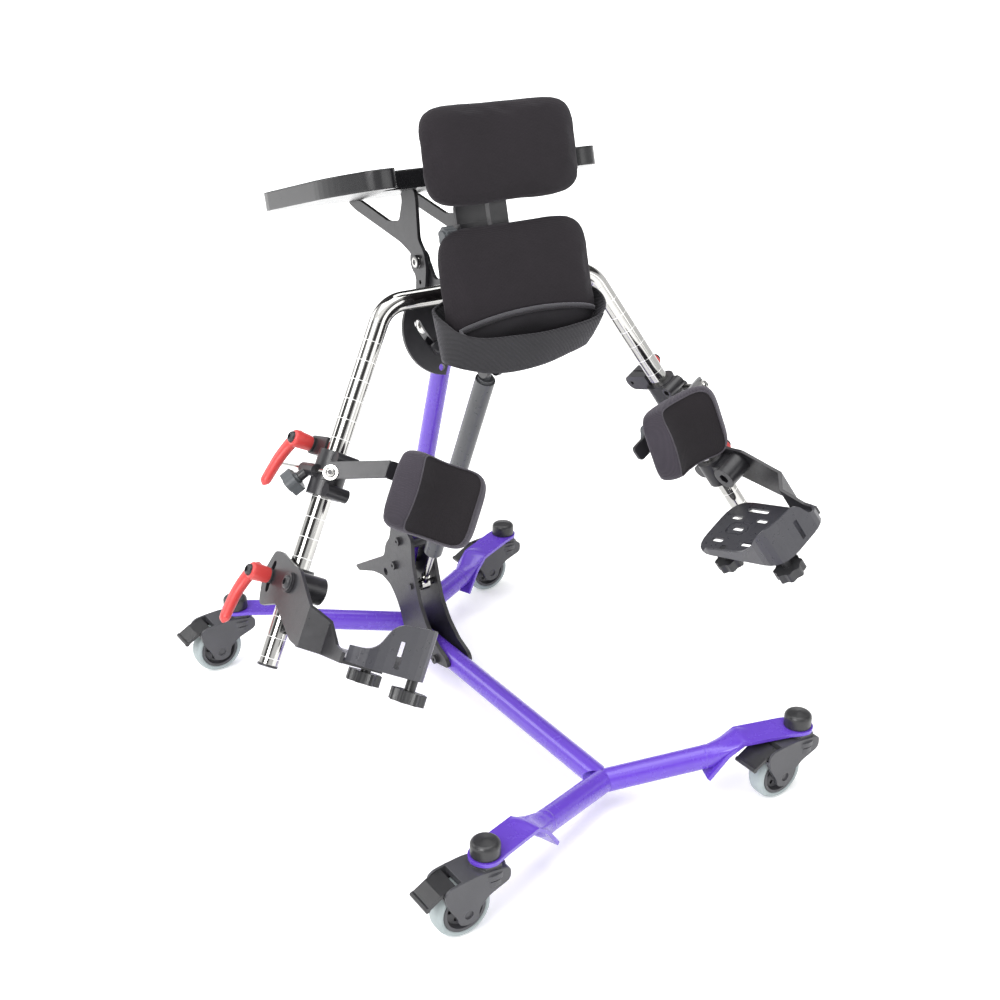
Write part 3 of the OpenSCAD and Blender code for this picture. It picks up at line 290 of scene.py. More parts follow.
def scaled(rgb, share):
    return tuple(min(1, c * share) for c in rgb)


def surface(name, rgb, rough, metal=0, vary=0.1, scale=30, grain=0.15, grain_scale=900, bevel=0.8, wear_and_highlight=0,
            coat=0, marks=None):
    """Hard surface: mottled colour and roughness, fine grain, rounded edges lightened partly as wear, partly as a
    painted highlight.
    """
    s = Shader(name)
    s.out.inputs["Metallic"].default_value = metal
    s.out.inputs["Coat Weight"].default_value = coat
    s.out.inputs["Coat Roughness"].default_value = COAT_ROUGH
    colour = s.ramp(s.noise(scale, 4), [(0.3, scaled(rgb, 1 - vary)), (0.7, scaled(rgb, 1 + vary))])
    normal = s.bevel(bevel * MM) if bevel else None
    # Rounded edges lightened in patches: partly wear, partly a painted highlight standing in for edges that catch the
    # light
    if wear_and_highlight:
        patches = s.remap(s.noise(EDGE_PATCH_SCALE), 0.35, 0.7, 0.2, wear_and_highlight)
        colour = s.mix(s.math("MULTIPLY", s.edge(normal), patches), colour, scaled(rgb, WEAR_AND_HIGHLIGHT_LIGHTER))
    rough_map = s.remap(s.noise(scale * 4, 5, 0.65), 0.25, 0.75, *(rough * share for share in ROUGH_SPREAD))
    for mask, tint, mask_rough in (marks(s) if marks else []):
        colour = s.mix(mask, colour, tint)
        rough_map = s.math("ADD", rough_map, s.math("MULTIPLY", mask, mask_rough - rough))
    if grain:
        normal = s.bump(s.noise(grain_scale, 2), grain, GRAIN_DEPTH, normal)
    s.link(colour, s.out.inputs["Base Color"])
    s.link(rough_map, s.out.inputs["Roughness"])
    if normal is not None:
        s.link(normal, s.out.inputs["Normal"])
    return s.material


def fabric(name, rgb, sheen, period=1.5, depth=0.5, rough=0.82, rib=None):
    """Knitted cover: a fine crossed weave, fuzz, soft tone changes and sheen. rib=(axis, period) makes webbing."""
    s = Shader(name)
    s.out.inputs["Sheen Weight"].default_value = sheen
    s.out.inputs["Sheen Roughness"].default_value = SHEEN_ROUGH
    s.out.inputs["Sheen Tint"].default_value = SHEEN_TINT
    s.out.inputs["Specular IOR Level"].default_value = CLOTH_SPECULAR

    def threads(axis, pitch):
        steps = s.math("MULTIPLY", s.along((0, 0, 0), axis), 2 * pi / (pitch * MM))
        return s.remap(s.math("SINE", steps), -1, 1, 0, 1)

    weave = threads(*rib) if rib else s.math("MULTIPLY", threads(WARP, period), threads(WEFT, period))
    fuzz = s.noise(FUZZ_SCALE, 2)
    height = s.math("ADD", weave, s.math("MULTIPLY", fuzz, FUZZ_SHARE))
    broad = s.math("MULTIPLY", s.noise(TONE_SCALE, 4), TONE_SHARE)
    tone = s.math("ADD", broad, s.math("MULTIPLY", height, WEAVE_SHARE))
    colour = s.ramp(tone, [(0.25, scaled(rgb, 0.72)), (0.85, scaled(rgb, 1.32))])
    s.link(colour, s.out.inputs["Base Color"])
    s.link(s.remap(fuzz, 0.2, 0.8, rough - 0.08, rough + 0.1), s.out.inputs["Roughness"])
    s.link(s.bump(height, depth, WEAVE_DEPTH), s.out.inputs["Normal"])
    return s.material


def leg_rings(side):
    """Thin engraved rings along the straight run of a leg tube."""
    axes = leg(side)

    def marks(s):
        down = s.along(axes.translation, -(axes.to_3x3() @ UP_Z).normalized())
        phase = s.math("PINGPONG", down, RING_STEP * MM / 2)
        ring = s.math("LESS_THAN", phase, RING_WIDTH * MM)
        inside = s.math("GREATER_THAN", down, RINGS_FROM * MM)
        return [(s.math("MULTIPLY", ring, inside), RING_TINT, RING_ROUGH)]
    return marks


def make_materials():
    m = {
        "paint": surface("purple_gloss", (0.112, 0.046, 0.47), 0.26, vary=0.05, scale=12, grain=0.02,
                         grain_scale=200, bevel=1.2, wear_and_highlight=0.2, coat=0.3),
        "black_steel": surface("black_powder_coat", BLACK, 0.36, vary=0.14, grain=0.3, grain_scale=1300, wear_and_highlight=0.5),
        "chrome": surface("bright_plate", CHROME, 0.13, metal=1, vary=0.05, grain=0.02, bevel=0.5),
        "tyre": surface("grey_rubber", (0.32, 0.365, 0.37), 0.62, vary=0.08, scale=40, grain=0.35, grain_scale=700),
        "fork": surface("satin_fork", (0.05, 0.05, 0.056), 0.36, grain=0.2, grain_scale=1100, bevel=1.4, wear_and_highlight=0.35),
        "black_plastic": surface("moulded_black", (0.02, 0.02, 0.0215), 0.32, vary=0.12, grain=0.25,
                                 grain_scale=800, wear_and_highlight=0.3),
        "tray_plastic": surface("tray_moulding", (0.008, 0.008, 0.009), 0.24, scale=18, bevel=4, wear_and_highlight=0.1),
        "grey_plastic": surface("moulded_grey", (0.06, 0.066, 0.072), 0.44, grain=0.25, bevel=1.4, wear_and_highlight=0.3),
        "gas_steel": surface("gas_cylinder_paint", (0.062, 0.064, 0.069), 0.3, vary=0.08, grain=0.1, bevel=1.0,
                             wear_and_highlight=0.4),
        "aluminium": surface("black_coated_metal", (0.018, 0.0175, 0.02), 0.32, vary=0.14, grain=0.22,
                             grain_scale=1200, wear_and_highlight=0.55),
        "red_plastic": surface("lever_red", RED, 0.36, vary=0.06, grain=0.2, bevel=0),
        "heel": surface("heel_wall_coat", (0.034, 0.034, 0.041), 0.3, vary=0.08, grain=0.2, grain_scale=1300,
                        wear_and_highlight=0.5),
        "pad_fabric": fabric("pad_knit", (0.0095, 0.007, 0.0095), 0.05),
        # Lighter copy of the face knit for the pad wall: mostly painted light on the side that faces the lamps, with
        # a slight real purple tint
        "knee_wall_painted_lit": fabric("pad_wall_knit_painted_lit", (0.033, 0.028, 0.037), 0.2),
        "knee_face": fabric("pad_face_knit", (0.0075, 0.0055, 0.0072), 0.03),
        "pouch": fabric("pouch_cloth", (0.014, 0.0125, 0.015), 0.1, period=1.1),
        "webbing": fabric("ribbed_webbing", (0.016, 0.0155, 0.0175), 0.16, rough=0.66, depth=0.9,
                          rib=((0.66, 0.34, 0.66), 4.0)),
        "piping": fabric("grey_piping", (0.055, 0.054, 0.059), 0.25, period=0.9),
        "seam": fabric("seam_thread", (0.05, 0.045, 0.054), 0.2, period=0.8),
    }
    for side in SIDES:
        m[side + "_tube"] = surface(side + "_chrome_tube", CHROME, 0.1, metal=1, vary=0.05, grain=0.02, bevel=0.5,
                                    marks=leg_rings(side))
    return m


def dress_cad(m):
    """Every CAD node gets the finish of its slot, or its own where one is named here."""
    own = {}
    for side in SIDES:
        own[side + "_leg_tube"] = own[side + "_leg_bend"] = side + "_tube"
        own[side + "_foot_plate"] = "heel"
    slots = {row["node"]: row["material_slot"] for row in frame["record"]["subparts"]}
    for name, obj in nodes.items():
        finish = m[own.get(name, slots[name])]
        if not obj.material_slots:
            obj.data.materials.append(finish)
        for place in obj.material_slots:
            place.material = finish


# Meshes
HEAD_SIDES = 24


def add_piece(name, verts, faces, finish, body, axes, crease=None):
    """A new mesh piece from points in millimetres in the given axes, riding on a body."""
    mesh = bpy.data.meshes.new(name)
    mesh.from_pydata([axes @ (Vector(v) * MM) for v in verts], [], faces)
    bm = bmesh.new()
    bm.from_mesh(mesh)
    bmesh.ops.recalc_face_normals(bm, faces=bm.faces)
    bm.to_mesh(mesh)
    bm.free()
    mesh.materials.append(finish)
    obj = add_object(name, mesh)
    mesh.shade_smooth()
    if crease:
        mesh.set_sharp_from_angle(angle=radians(crease))
    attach(obj, body)
    return obj


def apply_modifiers(obj):
    """Puts the object's modifiers into its mesh."""
    bpy.context.view_layer.update()
    done = bpy.data.meshes.new_from_object(obj.evaluated_get(bpy.context.evaluated_depsgraph_get()))
    old = obj.data
    obj.modifiers.clear()
    obj.data = done
    done.name = obj.name
    bpy.data.meshes.remove(old)


def finish_skin(obj, finish):
    """Gives a mesh that came out of modifiers its one material and smooth shading."""
    obj.data.materials.clear()
    obj.data.materials.append(finish)
    obj.data.shade_smooth()


def grid(rows, columns, point, wrap=False):
    """Points and quads of a grid; point(i, j) gives each place, and wrap closes each row into a ring."""
    verts = [point(i, j) for i in range(rows) for j in range(columns)]
    span = columns if wrap else columns - 1
    faces = [(i * columns + j, i * columns + (j + 1) % columns, (i + 1) * columns + (j + 1) % columns,
              (i + 1) * columns + j) for i in range(rows - 1) for j in range(span)]
    return verts, faces


def capped(verts, faces, rows, columns):
    """Closes both ends of a wrapped grid."""
    last = (rows - 1) * columns
    return verts, faces + [tuple(range(columns))[::-1], tuple(range(last, last + columns))]


def smooth_path(points, steps=5):
    """A Catmull-Rom curve through points."""
    p = [Vector(q) for q in points]
    p = [p[0] * 2 - p[1]] + p + [p[-1] * 2 - p[-2]]
    out = []
    for a, b, c, d in zip(p, p[1:], p[2:], p[3:]):
        for k in range(steps):
            t = k / steps
            out.append(0.5 * (2 * b + (c - a) * t + (2 * a - 5 * b + 4 * c - d) * t * t
                              + (3 * b - a - 3 * c + d) * t ** 3))
    return [tuple(v) for v in out] + [tuple(p[-2])]


def sweep(path, section, closed=False):
    """A tube of the given section (list of (a, b)) along a path of points, kept level by a steady side vector."""
    points = [Vector(p) for p in path]
    count = len(points)
    rings = []
    side = None
    for i, place in enumerate(points):
        if closed:
            before, after = points[i - 1], points[(i + 1) % count]
        else:
            before, after = points[max(i - 1, 0)], points[min(i + 1, count - 1)]
        ahead = (after - before).normalized()
        if side is None:
            side = ahead.orthogonal().normalized()
        side = (side - ahead * side.dot(ahead)).normalized()
        other = ahead.cross(side)
        rings.append([place + side * a + other * b for a, b in section])
    if closed:
        rings.append(rings[0])
    wide = len(section)
    verts, faces = grid(len(rings), wide, lambda i, j: rings[i][j], wrap=True)
    return (verts, faces) if closed else capped(verts, faces, len(rings), wide)


def circle(radius, count):
    return [(radius * cos(2 * pi * k / count), radius * sin(2 * pi * k / count)) for k in range(count)]


def oval_sweep(path, sizes, count=20):
    """A closed bar along a path of (y, z) points: an oval of the given half sizes, along x and across, at each."""
    rows = []
    for i, ((y, z), (wide, thick)) in enumerate(zip(path, sizes)):
        (y0, z0), (y1, z1) = path[max(i - 1, 0)], path[min(i + 1, len(path) - 1)]
        slope = atan2(z1 - z0, y1 - y0)
        side = Vector((0, -sin(slope), cos(slope)))
        rows.append([Vector((wide * cos(2 * pi * k / count), y, z)) + side * (thick * sin(2 * pi * k / count))
                     for k in range(count)])
    return capped(*grid(len(rows), count, lambda i, j: rows[i][j], wrap=True), len(rows), count)


def turned(profile, count):
    """The open skin of a turned form: profile is (radius, height) pairs, from one end to the other."""
    return grid(len(profile), count, lambda i, j: (
        profile[i][0] * cos(2 * pi * j / count), profile[i][0] * sin(2 * pi * j / count), profile[i][1]), wrap=True)


def spin(profile, count):
    """A turned solid."""
    return capped(*turned(profile, count), len(profile), count)


def button_head(name, at, facing, across, tall, finish, body, axes, socket=0.5, washer=0):
    """A domed screw head with a hexagon socket and, where asked, a washer under it."""
    r = across / 2
    top = washer + tall
    profile = [(r * 1.5, 0), (r * 1.5, washer), (r, washer)] if washer else [(r, 0)]
    profile += [(r, washer + tall * 0.3), (r * 0.9, washer + tall * 0.72), (r * 0.7, washer + tall * 0.95)]
    verts, faces = turned(profile, HEAD_SIDES)
    crest = len(verts) - HEAD_SIDES
    for height in (top, top - tall * 0.6):
        for j in range(HEAD_SIDES):
            angle = 2 * pi * j / HEAD_SIDES
            flat = r * socket * cos(pi / 6) / cos((angle % (pi / 3)) - pi / 6)
            verts.append((flat * cos(angle), flat * sin(angle), height))
    for a in (crest, crest + HEAD_SIDES):
        b = a + HEAD_SIDES
        faces += [(a + j, a + (j + 1) % HEAD_SIDES, b + (j + 1) % HEAD_SIDES, b + j) for j in range(HEAD_SIDES)]
    bottom = crest + 2 * HEAD_SIDES
    faces += [tuple(range(HEAD_SIDES))[::-1], tuple(range(bottom, bottom + HEAD_SIDES))]
    aim = Vector(facing).to_track_quat("Z", "Y").to_matrix().to_4x4()
    return add_piece(name, verts, faces, finish, body, axes @ shift(*at) @ aim, crease=35)


# Body pads: the cover is blown up as cloth from a slightly smaller copy of the solid, and stays flat on its board
PAD_VOXEL, PAD_SHRINK, PAD_SWELL, PAD_FIRM, PAD_FILL = 5, 2.5, 4.5, 6, 0.8
CLOTH_FRAMES, CLOTH_PRESSURE, CLOTH_STIFF, CLOTH_BEND = 20, 4, 18, 0.6


def inflate(obj):
    """Swells a cover by PAD_SWELL at most, growing from nothing at the board to its full share PAD_FIRM off it."""
    rest = [v.co.copy() for v in obj.data.vertices]
    cover = obj.modifiers.new("cover", "CLOTH")
    settings = cover.settings
    settings.use_pressure, settings.uniform_pressure_force = True, CLOTH_PRESSURE
    settings.tension_stiffness = settings.compression_stiffness = CLOTH_STIFF
    settings.bending_stiffness = CLOTH_BEND
    settings.effector_weights.gravity = 0
    cover.point_cache.frame_start, cover.point_cache.frame_end = 1, CLOTH_FRAMES
    for step in range(1, CLOTH_FRAMES + 1):
        scene.frame_set(step)
    blown = obj.evaluated_get(bpy.context.evaluated_depsgraph_get()).data
    moved = [v.co.copy() for v in blown.vertices]
    obj.modifiers.clear()
    scene.frame_set(1)
    to_carriage = CARRIAGE.inverted()
    for vertex, old, new in zip(obj.data.vertices, rest, moved):
        depth = PAD_BACK - (to_carriage @ old).y / MM
        free = min(1, max(0, (depth - 1) / PAD_FIRM))
        step = new - old
        if step.length > PAD_SWELL * MM:
            step *= PAD_SWELL * MM / step.length
        vertex.co = old + step * free


def make_body_pad(name, node, finish, body):
    mesh = nodes[node].data.copy()
    obj = add_object(name, mesh)
    bm = bmesh.new()
    bm.from_mesh(mesh)
    bmesh.ops.remove_doubles(bm, verts=bm.verts, dist=1e-5)
    bm.to_mesh(mesh)
    bm.free()
    bpy.context.view_layer.objects.active = obj
    remesh = obj.modifiers.new("remesh", "REMESH")
    remesh.mode, remesh.voxel_size = "VOXEL", PAD_VOXEL * MM
    apply_modifiers(obj)
    inward = obj.modifiers.new("smaller", "DISPLACE")
    inward.strength, inward.mid_level = -PAD_SHRINK * MM, 0
    apply_modifiers(obj)
    inflate(obj)
    smooth = obj.modifiers.new("smooth", "SMOOTH")
    smooth.factor, smooth.iterations = 0.5, 3
    apply_modifiers(obj)
    fine = obj.modifiers.new("fine", "SUBSURF")
    fine.levels = fine.render_levels = 1
    apply_modifiers(obj)
    finish_skin(obj, finish)
    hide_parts(node)
    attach(obj, body)
    return obj


# Knee pads: a thick cushion bent round the leg, with broad wing ends, a sewn ridge round its crest and a hollow face.
# The wall and the face are rings of the skin: share out from the middle, share of the depth from the back to the face
KNEE_PAD_AT = {"left": shift(86, -92.9, 4), "right": shift(82, -92.9, 7) @ turn(-16, "Y")}
KNEE_RADIUS, KNEE_BEND, KNEE_PAD_T = 95, radians(45), 36
KNEE_PAD_H, KNEE_THIN, KNEE_HOLLOW, KNEE_SQUARE = 106, 0.22, 0.1, 0.45
KNEE_WALL = [(0.3, 0), (0.7, 0), (0.9, 0.01), (0.955, 0.07), (0.985, 0.18), (1, 0.34), (1.006, 0.52), (1.004, 0.7),
             (0.994, 0.84), (0.978, 0.94), (0.966, 0.975)]
KNEE_FACE = [(0.955, 0.965), (0.935, 0.958), (0.9, 0.965), (0.84, 0.98), (0.74, 0.99), (0.6, 0.996), (0.4, 1),
             (0.2, 1)]
KNEE_SIDES, KNEE_PULL, KNEE_FILL = 96, 0.15, 0.75
SEAM_AT, SEAM_RADIUS = (0.965, 0.985), 0.9


def knee_point(share, depth, k):
    """A point of the cushion's skin: share out from the middle, depth from the back to the face, k round the rim."""
    angle = 2 * pi * k / KNEE_SIDES
    c, s = cos(angle), sin(angle)
    bend = KNEE_BEND * share * (1 if c > 0 else -1) * abs(c) ** KNEE_SQUARE
    rise = share * (1 if s > 0 else -1) * abs(s) ** KNEE_SQUARE
    pull = KNEE_PULL * sin(7 * angle + 1) * sin(3 * angle)
    radius = KNEE_RADIUS - depth * (KNEE_PAD_T * (1 - KNEE_THIN * rise ** 2) + pull)
    waist = 1 - KNEE_HOLLOW * (1 - (bend / KNEE_BEND) ** 2)
    return radius * sin(bend), radius * cos(bend) - KNEE_RADIUS, KNEE_PAD_H / 2 * rise * waist


def make_knee_pad(side, m):
    axes = leg(side, KNEE_Z) @ KNEE_PAD_AT[side]
    node = side + "_knee_pad"
    rings = KNEE_WALL + KNEE_FACE
    verts, faces = grid(len(rings), KNEE_SIDES, lambda i, k: knee_point(*rings[i], k), wrap=True)
    verts, faces = capped(verts, faces, len(rings), KNEE_SIDES)
    obj = add_piece(side + "_knee_cushion", verts, faces, m["knee_face"], node, axes)
    # The wall rings get the lighter knit, which is mostly painted light and partly a slight real tint
    obj.data.materials.append(m["knee_wall_painted_lit"])
    for polygon in obj.data.polygons[:(len(KNEE_WALL) - 1) * KNEE_SIDES]:
        polygon.material_index = 1
    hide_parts(node)
    crest = [knee_point(*SEAM_AT, k) for k in range(KNEE_SIDES)]
    verts, faces = sweep(crest, circle(SEAM_RADIUS, 8), closed=True)
    add_piece(side + "_knee_seam", verts, faces, m["seam"], node, axes)


# Pouch on the hip pad: a webbing band that wraps the pad from behind and gapes in front, a cloth wall with a piped
# edge on the pad's face, and a cloth bottom between the two. Places are in the carriage's axes
BAND_TOP = [(-92, -160, 36), (-114, -165, 28), (-121, -180, 21), (-120.5, -197, 11), (-111, -213, -4),
            (-86, -222, -14), (-45, -228, -17.5), (0, -231, -19.5), (45, -229, -17.5), (88, -222, -13),
            (110, -212, -3), (120, -197, 9), (121, -182, 19), (114, -165, 28), (92, -160, 36)]
BAND_HEM = [(-92, -160, -18), (-110, -165, -34), (-118, -180, -38), (-114, -194, -43), (-102, -204, -49),
            (-78, -211, -56.5), (-45, -215, -60.5), (0, -216, -58.5), (43, -211, -51.5), (72, -203, -47),
            (90, -193, -43), (103, -184, -39), (111, -177, -36), (108, -165, -33), (92, -160, -16)]
BAND_STEPS, BAND_ROWS, BAND_T = 6, 13, 2.2
BAND_MIDDLE, BAND_FREE, BELLY, WRINKLE = 42, 30, 3.2, 0.9
FOLDS = {"left": 4.7, "right": 9.4}
FOLD_STEP, FOLD_RADIUS = 2.6, 1.9
WALL_HALF, WALL_LOW, WALL_SIDE, WALL_RISE, WALL_POWER = 101, -31, -2, 13, 0.8
WALL_MID, CLOTH_ROWS, CLOTH_T, CLOTH_GAP = 20, 7, 1.4, 0.6
BOTTOM_ENDS, BOTTOM_NARROW, BOTTOM_IN, BOTTOM_UNDER, BOTTOM_SAG = (3, 11), 0.86, 14, 3.5, 4
PIPING_RADIUS, EDGE_RADIUS = 2.6, 1.5
PIPING_LIFT, ROLL_SHIFT = Vector((0, -1.4, 0)), Vector((0, -1.2, -3.8))
PIPING_TAIL = [Vector((-1, -11, -7)), Vector((-3, -6, -4))]
RAY_FROM, RAY_MISS = -300, 20


def band_edges():
    return [[Vector(p) for p in smooth_path(edge, BAND_STEPS)] for edge in (BAND_TOP, BAND_HEM)]


def band_point(edges, i, t):
    """Station i along the band, t from the hem to the top edge: a soft belly and a few shallow wrinkles."""
    top, hem = edges
    place = hem[i].lerp(top[i], t)
    ahead = (top[min(i + 1, len(top) - 1)] - top[max(i - 1, 0)]).normalized()
    out = ahead.cross(UP_Z).normalized()
    free = max(0, 1 - abs(i - BAND_MIDDLE) / BAND_FREE)
    belly = BELLY * sin(pi * t) * free
    wrinkle = sin(i * 0.55 + 3 * t) * sin(i * 0.21 + 1) * WRINKLE * t * free
    front = FOLD_STEP if FOLDS["left"] * BAND_STEPS < i < FOLDS["right"] * BAND_STEPS else 0
    return place + out * (belly + wrinkle + front)


def thick_sheet(place, columns, rows, thickness):
    """A cloth grid with two skins and closed edges; place(i, t) gives column i at the height share t."""
    face, quads = grid(rows, columns, lambda r, i: Vector(place(i, r / (rows - 1))))
    normals = [Vector() for _ in face]
    for a, b, c, d in quads:
        normal = (face[c] - face[a]).cross(face[d] - face[b])
        for k in (a, b, c, d):
            normals[k] += normal
    count = len(face)
    back = [v + n.normalized() * thickness for v, n in zip(face, normals)]
    rim = list(range(columns)) + [r * columns + columns - 1 for r in range(1, rows)]
    rim += [(rows - 1) * columns + j for j in range(columns - 2, -1, -1)]
    rim += [r * columns for r in range(rows - 2, 0, -1)]
    walls = [(a, b, b + count, a + count) for a, b in zip(rim, rim[1:] + rim[:1])]
    return face + back, quads + [tuple(k + count for k in q[::-1]) for q in quads] + walls


def pad_face(cushion, u, w, lift):
    """The point on the cushion's face in front of (u, w), lifted a little off it."""
    start, ahead = CARRIAGE @ (Vector((u, RAY_FROM, w)) * MM), CARRIAGE.to_3x3() @ Vector((0, 1, 0))
    found, at, _, _ = cushion.ray_cast(start, ahead)
    depth = (CARRIAGE.inverted() @ at).y / MM if found else PAD_BACK - RAY_MISS
    return Vector((u, depth - lift, w))


def cloth(name, place, columns, rows, thickness, finish):
    verts, faces = thick_sheet(place, columns, rows, thickness)
    return add_piece(name, verts, faces, finish, "carriage", CARRIAGE)


def sewn_edge(name, path, radius, finish, sides=8):
    verts, faces = sweep(path, circle(radius, sides))
    return add_piece(name, verts, faces, finish, "carriage", CARRIAGE)


def make_pouch(m, cushion):
    edges = band_edges()
    count = len(edges[0])
    first, last = (BAND_STEPS * k for k in BOTTOM_ENDS)
    columns = 2 * WALL_MID + 1

    def on_band(i, t):
        return band_point(edges, i, t)

    def wall_point(i, t):
        u = WALL_HALF * (i - WALL_MID) / WALL_MID
        lip = WALL_SIDE + WALL_RISE * (1 - (u / WALL_HALF) ** 2) ** WALL_POWER
        return pad_face(cushion, u, WALL_LOW + (lip - WALL_LOW) * t, CLOTH_GAP)

    def bottom_point(i, t):
        rim = on_band(first + i, 0)
        under = Vector((rim.x * BOTTOM_NARROW, PAD_BACK - BOTTOM_IN, HIP_LOW - BOTTOM_UNDER))
        return rim.lerp(under, t) + Vector((0, 0, -BOTTOM_SAG * sin(pi * t)))

    band = cloth("pouch_band", on_band, count, BAND_ROWS, BAND_T, m["webbing"])
    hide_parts("hip_pouch")
    wall = cloth("pouch_wall", wall_point, columns, CLOTH_ROWS, CLOTH_T, m["pouch"])
    bottom = cloth("pouch_bottom", bottom_point, last - first + 1, CLOTH_ROWS, CLOTH_T, m["pouch"])

    lips = [wall_point(i, 1) + PIPING_LIFT for i in range(columns)]
    tail = [lips[0] + step for step in PIPING_TAIL]
    piping = sewn_edge("pouch_wall_piping", tail + lips, PIPING_RADIUS, m["piping"], 12)
    rolled = sewn_edge("pouch_wall_roll", [p + ROLL_SHIFT for p in lips], EDGE_RADIUS, m["pouch"])
    hem_line = [on_band(i, 0.02) for i in range(first, last + 1)]
    hem = sewn_edge("pouch_hem_piping", hem_line, EDGE_RADIUS, m["piping"])
    edge = sewn_edge("pouch_lip_edge", [on_band(i, 1) for i in range(count)], EDGE_RADIUS, m["webbing"])
    for side, place in FOLDS.items():
        line = [on_band(int(place * BAND_STEPS), t / 8) for t in range(9)]
        sewn_edge(side + "_pouch_fold", line, FOLD_RADIUS, m["webbing"])


# Clamp levers: a hub that runs into a curved, tapered grip, blended into one moulding. Each kind has its place along
# the tube, the x of its inner face, the y and z of its pin, the grip's line from there and the grip's lean in degrees
LEVERS = {
    "knee": (KNEE_Z, -13.4, (47, 31), [(0, 2), (13, -4), (21, -26), (21, -48), (19, -70)], 15),
    "foot": (FOOT_Z, -22.9, (23, 0), [(0, 2), (13, -3), (19, -28), (15, -50), (7, -73)], 14),
}
HUB_LEN, HUB_IN, GRIP_IN, LEVER_SIDES = 27, 1.2, 7.5, 32
HUB = [(8.6, 0), (9.6, -1), (10.2, -6), (11, -18), (11, -24), (9.4, -HUB_LEN)]
WASHER_T = 2.6
WASHER = [(6, 0), (9.4, 0), (9.6, 0.6), (9.4, WASHER_T), (6, WASHER_T)]
LEVER_VOXEL, LEVER_SMOOTHING = 1.1, 7
SCREW_IN, SCREW_ACROSS, SCREW_TALL, SCREW_SOCKET = 0.6, 15, 6.5, 0.55


def grip_half(t):
    """Half sizes of a grip at the share t of its length: it tapers, and is rounded off at its tip."""
    tip = max(0.0, min(1, (1 - t) / 0.07)) ** 0.5 * 0.85 + 0.15
    return (8 - 1.4 * t) * tip, (11.6 - 3.6 * min(1, t * 1.3)) * tip


def make_lever(side, kind, m):
    z, face, pin, line, lean = LEVERS[kind]
    axes = leg(side, z) @ shift(0, *pin)
    body = side + "_" + kind + "_lever"
    outer = face - HUB_LEN
    path = smooth_path(line)
    last = len(path) - 1
    grip, faces = oval_sweep(path, [grip_half(i / last) for i in range(last + 1)])
    tilt = shift(outer + GRIP_IN, 0, 0) @ turn(lean, "Y")
    verts = [tilt @ (Vector(v) * MM) / MM for v in grip]
    hub, hub_faces = spin(HUB, LEVER_SIDES)
    start = len(verts)
    verts += [Vector((v[2] + face - HUB_IN, v[0], v[1])) for v in hub]
    faces += [tuple(k + start for k in f) for f in hub_faces]
    obj = add_piece(side + "_" + kind + "_clamp_lever", verts, faces, m["red_plastic"], body, axes)
    remesh = obj.modifiers.new("blend", "REMESH")
    remesh.mode, remesh.voxel_size = "VOXEL", LEVER_VOXEL * MM
    soften = obj.modifiers.new("soften", "SMOOTH")
    soften.factor, soften.iterations = 0.5, LEVER_SMOOTHING
    apply_modifiers(obj)
    finish_skin(obj, m["red_plastic"])
    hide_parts(body)
    button_head(body + "_screw", (outer + SCREW_IN, 0, 0), (-1, 0, 0), SCREW_ACROSS, SCREW_TALL, m["black_steel"],
                body, axes, socket=SCREW_SOCKET)
    washer, faces = spin(WASHER, LEVER_SIDES)
    verts = [(face - WASHER_T + v[2], v[0], v[1]) for v in washer]
    add_piece(body + "_washer", verts, faces, m["black_steel"], body, axes, crease=35)


# Shoulders where the round cross bars flatten into the caster tabs: path and half sizes along each bar
APEX_Y, BAR_TURN, SHOULDER_SIDES = 260, atan2(100, 250), 32
SHOULDER_LINE = [(138.6, 61.4), (148.5, 62.8), (160, 69.5), (171, 78.2), (180, 84), (188, 88.4), (202, 89.1),
                 (212, 89.8)]
SHOULDER_HALF = [(16.3, 16.3), (16.3, 16.3), (17.6, 13), (19.2, 6.6), (20.3, 4.4), (20.9, 3.4), (21, 2.7),
                 (20.8, 2.2)]


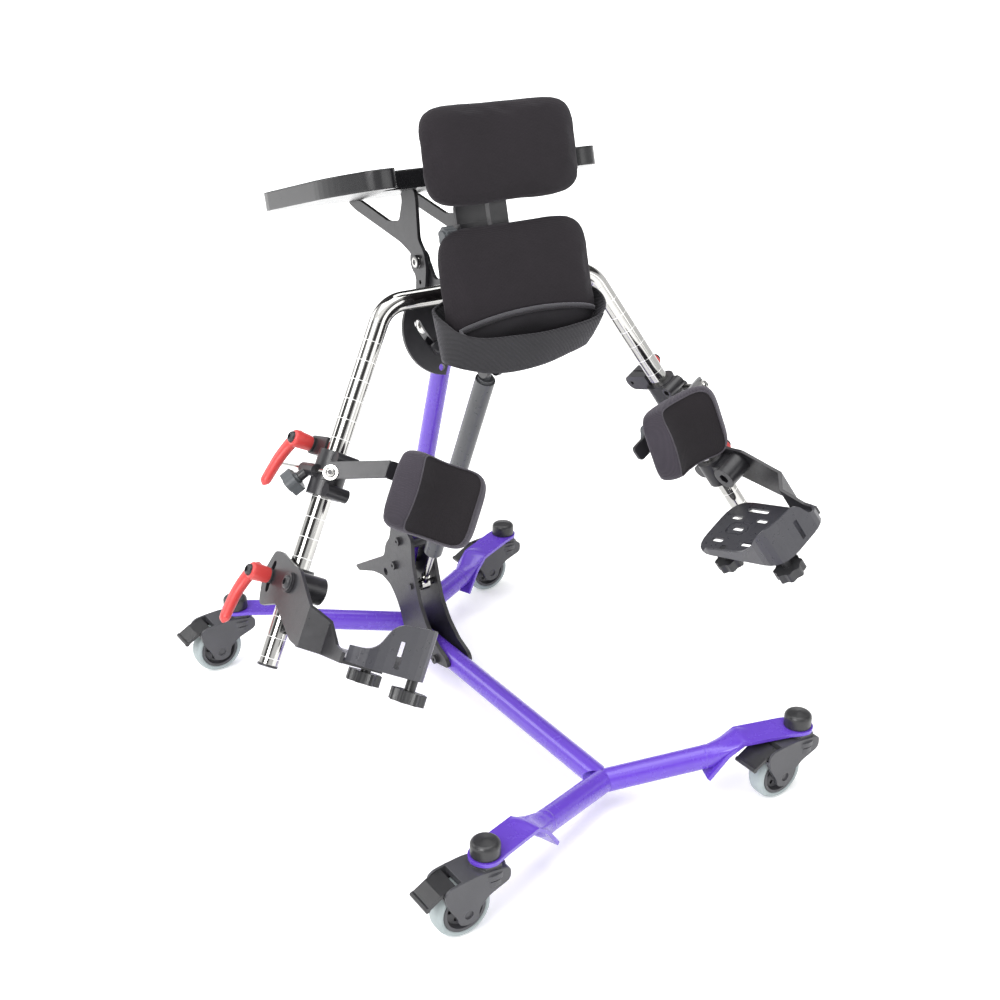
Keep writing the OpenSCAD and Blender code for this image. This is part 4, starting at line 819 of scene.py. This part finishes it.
def make_shoulders(m):
    verts, faces = oval_sweep(smooth_path(SHOULDER_LINE), smooth_path(SHOULDER_HALF), SHOULDER_SIDES)
    for corner, (sx, sy) in CORNERS.items():
        along = Vector((sx * cos(BAR_TURN), sy * sin(BAR_TURN), 0))
        axes = shift(0, sy * APEX_Y, 0) @ Matrix((along.cross(UP_Z), along, UP_Z)).transposed().to_4x4()
        add_piece("bar_shoulder_" + corner, verts, faces, m["paint"], "base", axes)


# Screw heads on the right side of the carriage: name, place, facing, width, height, finish, socket's share
CARRIAGE_HEADS = [
    ("_tilt_pin_head", (42.6, 0, 0), (1, 0, 0), 25, 4.5, "chrome", 0.4),
    ("_tray_pin_head", (49, -23, 85), (1, 0, 0), 18.6, 5, "chrome", 0.42),
    ("_lock_stud_head", (89, -112.4, -24), (0, -1, 0), 16.6, 5, "black_steel", 0.5),
    ("_gas_pin_head", (12.5, -89, -63), (1, 0, 0), 14, 4, "chrome", 0.45),
]
ARM_TURN, ARM_MIDDLE, ARM_FACE, ARM_WASHER = radians(-38.66), Vector((-22, -50, -2)), 2.4, 2.4
ANKLE_AT, ANKLE_WASHER = (-22.7, -36, 0), 2


def make_fasteners(m):
    arm_out = Vector((sin(ARM_TURN), -cos(ARM_TURN), 0))
    for side, sign in SIDES.items():
        for name, (x, y, z), (out, *level), across, tall, finish, socket in CARRIAGE_HEADS:
            button_head(side + name, (sign * x, y, z), (sign * out, *level), across, tall, m[finish], "carriage",
                        CARRIAGE, socket=socket)
        button_head(side + "_arm_button", ARM_MIDDLE + arm_out * ARM_FACE, arm_out, 12.4, 3.6, m["chrome"],
                    side + "_knee_arm", leg(side, KNEE_Z), washer=ARM_WASHER)
        button_head(side + "_ankle_button", ANKLE_AT, (-1, 0, 0), 17, 5.5, m["black_steel"],
                    side + "_ankle_clamp", leg(side, FOOT_Z), washer=ANKLE_WASHER)


def make_everything():
    m = make_materials()
    make_camera()
    make_studio()
    make_floor()
    dress_cad(m)
    make_body_pad("chest_cushion", "chest_pad", m["pad_fabric"], "chest")
    hip_cushion = make_body_pad("hip_cushion", "hip_pad", m["pad_fabric"], "carriage")
    for side in SIDES:
        make_knee_pad(side, m)
        for kind in LEVERS:
            make_lever(side, kind, m)
    make_pouch(m, hip_cushion)
    make_shoulders(m)
    make_fasteners(m)


make_everything()
